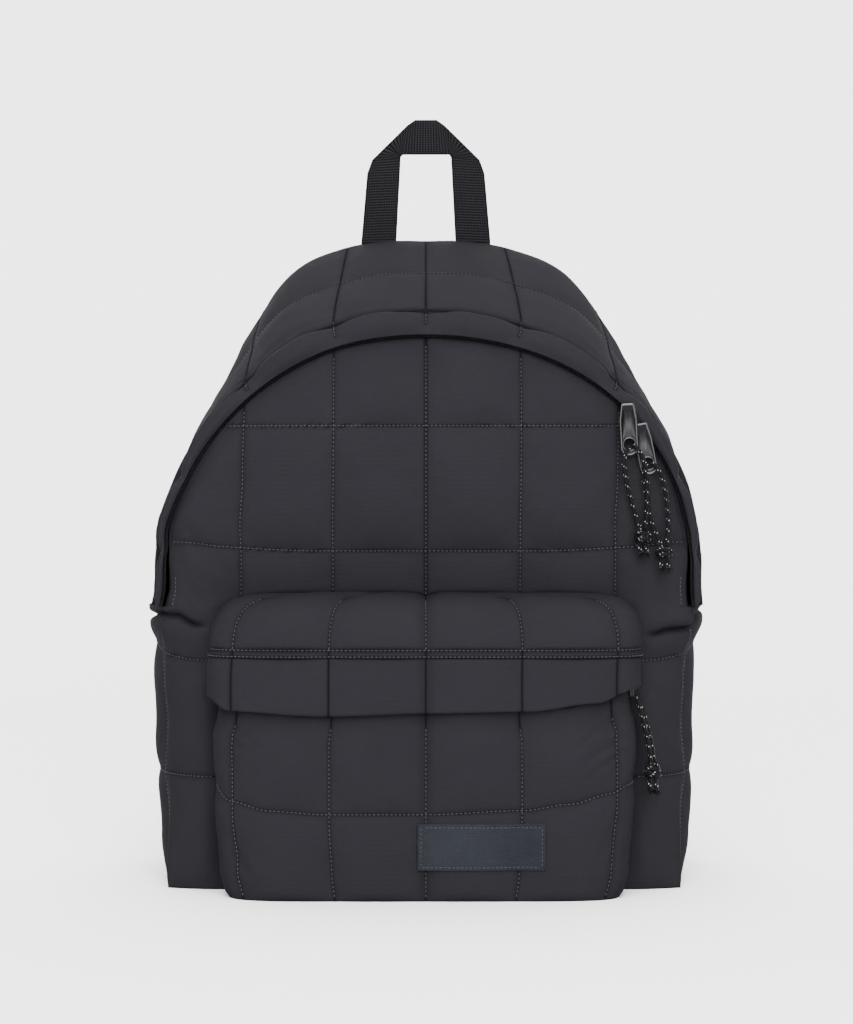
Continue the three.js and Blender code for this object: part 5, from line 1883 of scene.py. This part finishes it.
# How far its middle stands behind the back panel's front, and where it is folded, as shares of its length
HANDLE_BEHIND = 3.2
HANDLE_FOLDS = (0.36, 0.64)
# Its outer and inner edge, in shares of the half width and rise of each
HANDLE_OUTER = ((1, 0), (0.91, 0.557), (0.833, 0.67), (0.286, 0.956), (0.167, 1))
HANDLE_INNER = ((1, 0), (0.854, 0.97), (0.79, 1))
# Points along its leg, the fan round its corner and half of its top
HANDLE_LEG = 150
HANDLE_FAN = 46
HANDLE_TOP = 40


class BACKPACK_OT_handle(bpy.types.Operator):
    """Ribbed webbing handle, folded over at its two corners"""
    bl_idname = "backpack.handle"
    bl_label = "Handle"

    def execute(self, context):
        y = BACK_LOW.y / MM - SHIFT_Y + HANDLE_BEHIND
        foot = BAG_HEIGHT + SEAT
        inner_half = HANDLE_HALF - WEBBING_WIDTH
        inner_rise = HANDLE_RISE - WEBBING_WIDTH
        outer = self.edge(((1, -0.04), *HANDLE_OUTER), HANDLE_HALF, HANDLE_RISE, foot, y)
        inner = self.edge(((1, -0.04), *HANDLE_INNER), inner_half, inner_rise, foot, y)
        left_outer, left_inner = self.side(outer, inner)
        out = np.concatenate([left_outer, self.flip(left_outer)[1:]])
        inn = np.concatenate([left_inner, self.flip(left_inner)[1:]])
        relief = lambda s, t: self.relief(s, t, float(np.max(s)))
        front, back, s, t = strip(out, inn, WEBBING_THICKNESS, relief, 22)
        piece = join_parts("handle_webbing", [grid_part(front, back, s, t)])
        finish_piece(piece, rib_material(), "webbing_black", "grab_handle")
        return {"FINISHED"}

    def edge(self, rows, half, rise, foot, y):
        return np.array([(-half * across, y, foot + rise * up) for across, up in rows])

    def side(self, outer, inner):
        """Left half: the leg, the fan round the inner corner, and half of the top stretch."""
        leg = min(len(self.leg(outer[:4])), len(self.leg(inner[:3])))
        middle_outer = outer[5] * np.array([0, 1, 1])
        middle_inner = inner[3] * np.array([0, 1, 1])
        stretches = (
            (leg, outer[:4], inner[:3]),
            (HANDLE_FAN, outer[3:5], inner[2:4]),
            (HANDLE_TOP, np.array([outer[4], outer[5], middle_outer]), np.array([inner[3], middle_inner])),
        )
        left_outer = [self.resample(path, count) for count, path, _ in stretches]
        left_inner = [self.resample(path, count) for count, _, path in stretches]
        return (np.concatenate([left_outer[0], left_outer[1][1:], left_outer[2][1:]]),
                np.concatenate([left_inner[0], left_inner[1][1:], left_inner[2][1:]]))

    def leg(self, path):
        return evenly(path, 0.01 + distances(path)[-1] / HANDLE_LEG)

    def resample(self, points, count):
        along = distances(points)
        return sample(points, along, np.linspace(0, along[-1], count))

    def flip(self, points):
        return points[::-1] * np.array([-1, 1, 1])

    def relief(self, s, t, length):
        rib = 0.26 * np.abs(np.sin(np.pi * s / RIB_PITCH)) ** 0.8
        weave = 0.07 * np.sin(2 * np.pi * t / 1.9) * np.sign(np.sin(np.pi * s / RIB_PITCH + 0.01))
        total = rib + weave - 0.15
        for fold in HANDLE_FOLDS:
            off = s - fold * length
            total = total - 0.5 * hump(off, 1) + 0.35 * hump(off - 2.5, 2)
        return total


# Label

LABEL_WIDTH = 74.0
LABEL_HEIGHT = 27.0
LABEL_LEFT = -5.0
LABEL_LOW = 18.0
LABEL_HEM = 2.2
LABEL_RISE = 0.9
LABEL_ROUNDING = 1.1


class BACKPACK_OT_label(bpy.types.Operator):
    """Plain woven patch with a stitched border"""
    bl_idname = "backpack.label"
    bl_label = "Woven patch"

    def execute(self, context):
        x = np.linspace(LABEL_LEFT, LABEL_LEFT + LABEL_WIDTH, 112)
        z = np.linspace(LABEL_LOW, LABEL_LOW + LABEL_HEIGHT, 44)
        grid_x, grid_z = np.meshgrid(x, z, indexing="ij")
        surface = self.surface(grid_x, grid_z)
        edge = np.minimum(nearest(grid_x, (x[0], x[-1])), nearest(grid_z, (z[0], z[-1])))
        rounded = LABEL_RISE * np.sqrt(np.clip(1 - (1 - np.clip(edge / LABEL_ROUNDING, 0, 1)) ** 2, 0, 1))
        groove = 0.22 * hump(edge - LABEL_HEM, 0.5)
        slack = 0.18 * noise(grid_x, grid_z, 9, 5)
        outer = surface.copy()
        outer[..., 1] -= 0.25 + rounded - groove + slack
        inner = surface.copy()
        piece = shell("label_cloth", outer, inner)
        finish_piece(piece, label_material(), "label_weave", "label_patch")
        self.border(x, z)
        return {"FINISHED"}

    def surface(self, x, z):
        """The pocket's cloth under the patch, smoothed as the stiffer patch bridges the small folds."""
        cloth = pocket_front_cloth()
        near = [self.cloth_y(cloth, x + dx, z + dz) for dx in (-4, 0, 4) for dz in (-4, 0, 4)]
        y = np.minimum(sum(near) / len(near), self.cloth_y(cloth, x, z)) - 0.1
        return np.stack([x, y, z], -1)

    def cloth_y(self, cloth, x, z):
        turns = np.linspace(-0.6, 0.6, 400)
        row = z / POCKET_TOP
        reach = by_height(POCKET_ROWS, row, 1)
        turn = np.interp(x / reach, pocket_point(turns, 0.0, 0.0)[:, 0], turns)
        for _ in range(3):
            row = (z - pocket_lift(turn, row)) / POCKET_TOP
        return cloth.point(turn, row)[..., 1]

    def border(self, x, z):
        low, high = z[0] + LABEL_HEM, z[-1] - LABEL_HEM
        left, right = x[0] + LABEL_HEM, x[-1] - LABEL_HEM
        corners = ((left, low), (right, low), (right, high), (left, high), (left, low))
        rows = []
        for (x0, z0), (x1, z1) in zip(corners, corners[1:]):
            points = self.surface(np.linspace(x0, x1, 90), np.linspace(z0, z1, 90))
            points[:, 1] -= 1.0
            rows.append(thread_row(points, np.tile(np.array([[0, -1.0, 0]]), (90, 1))))
        stitches("label_stitches", rows, label_thread_material(), "label_weave")


# Carrying straps

STAND_OFF = 26.0
STRAP_WIDTH = 62.0
STRAP_THICKNESS = 12.0
STRAP_HEM = 6.0
STRAP_STEP = 2.2
STRAP_WEBBING_HALF = 12.5
STRAP_WEBBING_THICKNESS = 2.0
# Routes, with each place across, off the back and up as shares of the bag's half width, of the stand-off and
# of the bag's height
STRAP_ROUTE = (
    (0.22, -0.058, 0.925), (0.265, 0.31, 0.87), (0.34, 0.77, 0.76), (0.425, 1, 0.615), (0.5, 0.92, 0.46),
    (0.55, 0.615, 0.32), (0.585, 0.308, 0.212),
)
WEBBING_ROUTE = ((0.598, 0.308, 0.153), (0.64, 0.154, 0.1), (0.7, 0, 0.045))
BUCKLE_PLACE = (0.59, 0.308, 0.1825)
BUCKLE_WIDTH = 34.0
BUCKLE_HEIGHT = 24.0
BUCKLE_THICKNESS = 5.0
BUCKLE_SIDE = 4.0
# Lower and upper edges of the buckle's cross bars, from its lower end
BUCKLE_BARS = ((0, 3), (9, 13), (19, 24))
BACK_FACE = REAR_DEPTH + 2 * SEAT + BACK_PADDING


def strap_place(side, row):
    across, off, up = row
    return np.array([side * across * BAG_HALF_WIDTH, BACK_FACE + off * STAND_OFF, up * BAG_HEIGHT])


class BACKPACK_OT_straps(bpy.types.Operator):
    """Padded shoulder straps, their webbing and ladder buckles"""
    bl_idname = "backpack.straps"
    bl_label = "Carrying straps"

    def execute(self, context):
        for side, word in ((-1, "left"), (1, "right")):
            self.strap(side, word)
            self.webbing(side, word)
            self.buckle(side, word)
        return {"FINISHED"}

    def frame_along(self, side, route, spacing):
        path = curve_through([strap_place(side, row) for row in route], spacing)
        tangents = unit(np.gradient(path, axis=0))
        sideways = unit(np.stack([tangents[:, 2], 0 * tangents[:, 0], -tangents[:, 0]], -1))
        outward = np.cross(sideways, tangents)
        outward *= np.sign(outward[:, 1:2])
        return path, sideways, outward

    def strap(self, side, word):
        path, sideways, outward = self.frame_along(side, STRAP_ROUTE, STRAP_STEP)
        foot = BUCKLE_PLACE[2] * BAG_HEIGHT + BUCKLE_HEIGHT / 2 + SEAT
        shares = np.sin(np.linspace(-np.pi / 2, np.pi / 2, 33))
        place = np.linspace(0, 1, len(path))
        narrow = 1 - 0.35 * smooth(0.8, 1, place)
        half = STRAP_WIDTH / 2 * narrow
        across = half[:, None] * shares[None, :]
        swell = np.sqrt(np.clip(1 - np.abs(shares) ** 5, 0, 1))[None, :]
        ends = np.clip(np.minimum(place, 1 - place) * 22, 0.35, 1)[:, None]
        seam = 1 - 0.35 * hump(half[:, None] - np.abs(across) - STRAP_HEM, 1.4)
        along = np.arange(len(path))[:, None] * STRAP_STEP + 0 * across
        wrinkle = 0.35 * ripples(across, along, 0, 5, 3, 60 + side)
        thick = STRAP_THICKNESS * swell * ends * seam
        centre = path[:, None] + sideways[:, None] * across[..., None]
        centre = centre + outward[:, None] * STRAP_THICKNESS / 2
        front = centre + outward[:, None] * (thick / 2 + wrinkle * swell)[..., None]
        back = centre - outward[:, None] * (thick / 2)[..., None]
        for points in (front, back):
            points[..., 1] = np.maximum(points[..., 1], BACK_FACE)
            points[..., 2] = np.maximum(points[..., 2], foot)
        piece = shell(f"strap_{word}_cloth", front, back)
        finish_piece(piece, strap_material(), "strap_cloth", f"shoulder_strap_{word}")
        edges = []
        seams = []
        for edge in (-1, 1):
            line_points = path + sideways * (edge * half)[:, None] + outward * STRAP_THICKNESS / 2
            line_points[:, 1] = np.maximum(line_points[:, 1], BACK_FACE + 1.7)
            line_points[:, 2] = np.maximum(line_points[:, 2], foot + 0.5)
            edges.append(tube(evenly(line_points, STRAP_STEP), 1.6, sides=10))
            column = int(np.argmin(np.abs(shares - edge * (1 - STRAP_HEM / (STRAP_WIDTH / 2)))))
            seams.append(thread_row(front[2:-2, column] + outward[2:-2] * 0.1, outward[2:-2]))
        finish_piece(join_parts(f"strap_{word}_binding", edges), webbing_material(), "webbing_black")
        stitches(f"strap_{word}_stitches", seams, thread_material(), "strap_cloth")

    def webbing(self, side, word):
        path, sideways, outward = self.frame_along(side, WEBBING_ROUTE, 0.5)
        stop = BUCKLE_PLACE[2] * BAG_HEIGHT - BUCKLE_HEIGHT / 2 - SEAT
        left = path - sideways * STRAP_WEBBING_HALF + outward
        right = path + sideways * STRAP_WEBBING_HALF + outward
        for edge in (left, right):
            edge[:, 2] = np.minimum(edge[:, 2], stop)
        relief = lambda s, t: 0.12 * np.abs(np.sin(np.pi * s / 2.0)) - 0.08
        front, back, s, t = strip(left, right, STRAP_WEBBING_THICKNESS, relief, 16, outward)
        for points in (front, back):
            points[..., 1] = np.maximum(points[..., 1], BACK_FACE)
        piece = join_parts(f"webbing_{word}_ribs", [grid_part(front, back, s, t)])
        finish_piece(piece, rib_material(), "webbing_black", f"strap_webbing_{word}")

    def buckle(self, side, word):
        centre = strap_place(side, BUCKLE_PLACE) + np.array([0, BUCKLE_THICKNESS / 2, 0])
        parts = []
        low = -BUCKLE_HEIGHT / 2
        for edge in (-1, 1):
            at = centre + np.array([edge * (BUCKLE_WIDTH - BUCKLE_SIDE) / 2, 0, 0])
            parts.append(rounded_box((BUCKLE_SIDE, BUCKLE_THICKNESS, BUCKLE_HEIGHT), 1.3, at))
        for bottom, top in BUCKLE_BARS:
            at = centre + np.array([0, 0, low + (bottom + top) / 2])
            size = (BUCKLE_WIDTH - BUCKLE_SIDE - 1, BUCKLE_THICKNESS - 0.6, top - bottom)
            parts.append(rounded_box(size, 1.2, at))
        piece = join_parts(f"buckle_{word}_ladder", parts)
        finish_piece(piece, plastic_material(), "buckle_plastic", f"strap_buckle_{word}")


# Stage

CAMERA_LENS = 82.2
CAMERA_PLACE = (0.0004, -1.438 + SHIFT_Y * MM, 0.224)
KEY_LIGHT_PLACE = (0.35, -2.9, 1.5)
KEY_LIGHT_SIZE = 1.4
KEY_LIGHT_POWER = 72
# The room's light by how far a direction points aside: where the dark screens start and are full, and its
# strength between and beyond them
SCREEN_START = 0.05
SCREEN_FULL = 0.6
ROOM_STRENGTH = 11.5
SCREEN_STRENGTH = 0.2
# Half of the floor's width, its front edge, where the backdrop starts to rise, and the backdrop's radius and
# top, in millimetres
FLOOR_HALF = 6000
FLOOR_FRONT = -4000
SWEEP_START = 1200
SWEEP_RADIUS = 1600
BACKDROP_TOP = 5000


def camera_view():
    data = bpy.data.cameras.new("photo_camera")
    data.sensor_width = 36
    data.lens = CAMERA_LENS
    camera = into_scene("photo_camera", data)
    camera.location = CAMERA_PLACE
    camera.rotation_euler = (math.pi / 2, 0, 0)
    bpy.context.scene.camera = camera


def area_light(name, place, target, size, power):
    data = bpy.data.lights.new(name, "AREA")
    data.size = size
    data.energy = power
    light = into_scene(name, data)
    light.location = place
    direction = np.array(target, float) - np.array(place, float)
    distance = np.linalg.norm(direction)
    pitch = math.acos(-direction[2] / distance)
    yaw = math.atan2(direction[1], direction[0]) - math.pi / 2
    light.rotation_euler = (pitch, 0, yaw)


def stage_material():
    material, tree, shader = new_material("Stage", Specular_IOR_Level=0.1, Roughness=0.9)
    place = add_node(tree, "ShaderNodeTexCoord")
    grain = object_noise(tree, place, in_Scale=3.0)
    pale = colours().floor
    tree.links.new(between(tree, grain, shaded(pale, 0.99), pale), shader.inputs["Base Color"])
    return material


class BACKPACK_OT_stage(bpy.types.Operator):
    """Camera, pale floor with a swept backdrop, and soft light"""
    bl_idname = "backpack.stage"
    bl_label = "Stage"

    def execute(self, context):
        camera_view()
        turn = np.linspace(0, np.pi / 2, 49)
        sweep = SWEEP_START + SWEEP_RADIUS * np.sin(turn)
        rows = np.concatenate([[FLOOR_FRONT], sweep, sweep[-1:]])
        heights = np.concatenate([[0], SWEEP_RADIUS * (1 - np.cos(turn)), [BACKDROP_TOP]])
        points = [(x, y, z) for y, z in zip(rows, heights) for x in (-FLOOR_HALF, FLOOR_HALF)]
        faces = [(2 * k, 2 * k + 1, 2 * k + 3, 2 * k + 2) for k in range(len(rows) - 1)]
        floor = new_object("stage_floor", points, faces)
        floor.data.materials.append(stage_material())
        floor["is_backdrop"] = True
        area_light("key_light", KEY_LIGHT_PLACE, (0, 0, 0.2), KEY_LIGHT_SIZE, KEY_LIGHT_POWER)
        self.room_light(context.scene)
        return {"FINISHED"}

    def room_light(self, scene):
        """A white room with dark walls at both sides, as between two black screens."""
        world = bpy.data.worlds.new("soft_world")
        scene.world = world
        world.use_nodes = True
        tree = world.node_tree
        place = add_node(tree, "ShaderNodeTexCoord")
        parts = add_node(tree, "ShaderNodeSeparateXYZ", [("Vector", place.outputs["Generated"])])
        aside = maths(tree, "ABSOLUTE", parts.outputs["X"])
        screen = add_node(tree, "ShaderNodeMapRange", [("Value", aside)], interpolation_type="SMOOTHSTEP",
                          in_From_Min=SCREEN_START, in_From_Max=SCREEN_FULL,
                          in_To_Min=ROOM_STRENGTH, in_To_Max=SCREEN_STRENGTH)
        tree.links.new(screen.outputs["Result"], tree.nodes["Background"].inputs["Strength"])
        tree.nodes["Background"].inputs["Color"].default_value = (1, 1, 1, 1)


# Panel and registration

class BACKPACK_PT_panel(bpy.types.Panel):
    """Lists the backpack's sizes, colours and pieces"""
    bl_label = "Quilted backpack"
    bl_idname = "BACKPACK_PT_panel"
    bl_space_type = "VIEW_3D"
    bl_region_type = "UI"
    bl_category = "Backpack"

    def draw(self, context):
        for group in (context.scene.backpack_sizes, context.scene.backpack_colours):
            for name in group.__annotations__:
                self.layout.prop(group, name)
        for operator in OPERATORS:
            self.layout.operator(operator.bl_idname)


OPERATORS = (
    BACKPACK_OT_stage, BACKPACK_OT_cords, BACKPACK_OT_zip, BACKPACK_OT_handle, BACKPACK_OT_front,
    BACKPACK_OT_gusset, BACKPACK_OT_back, BACKPACK_OT_pocket, BACKPACK_OT_label, BACKPACK_OT_straps,
)
CLASSES = (BackpackSizes, BackpackColours, *OPERATORS, BACKPACK_PT_panel)


def register():
    for cls in CLASSES:
        bpy.utils.register_class(cls)
    bpy.types.Scene.backpack_sizes = PointerProperty(type=BackpackSizes)
    bpy.types.Scene.backpack_colours = PointerProperty(type=BackpackColours)


def unregister():
    del bpy.types.Scene.backpack_colours
    del bpy.types.Scene.backpack_sizes
    for cls in reversed(CLASSES):
        bpy.utils.unregister_class(cls)


def run_operators():
    for operator in OPERATORS:
        area, name = operator.bl_idname.split(".")
        result = getattr(getattr(bpy.ops, area), name)()
        if "FINISHED" not in result:
            raise RuntimeError(f"{operator.bl_idname} didn't finish")


def main():
    register()
    run_operators()
    new_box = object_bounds()
    {"cad": [list(corner) for corner in CAD_BOX], "visual": [list(corner) for corner in new_box]}


if __name__ == "__main__":
    main()
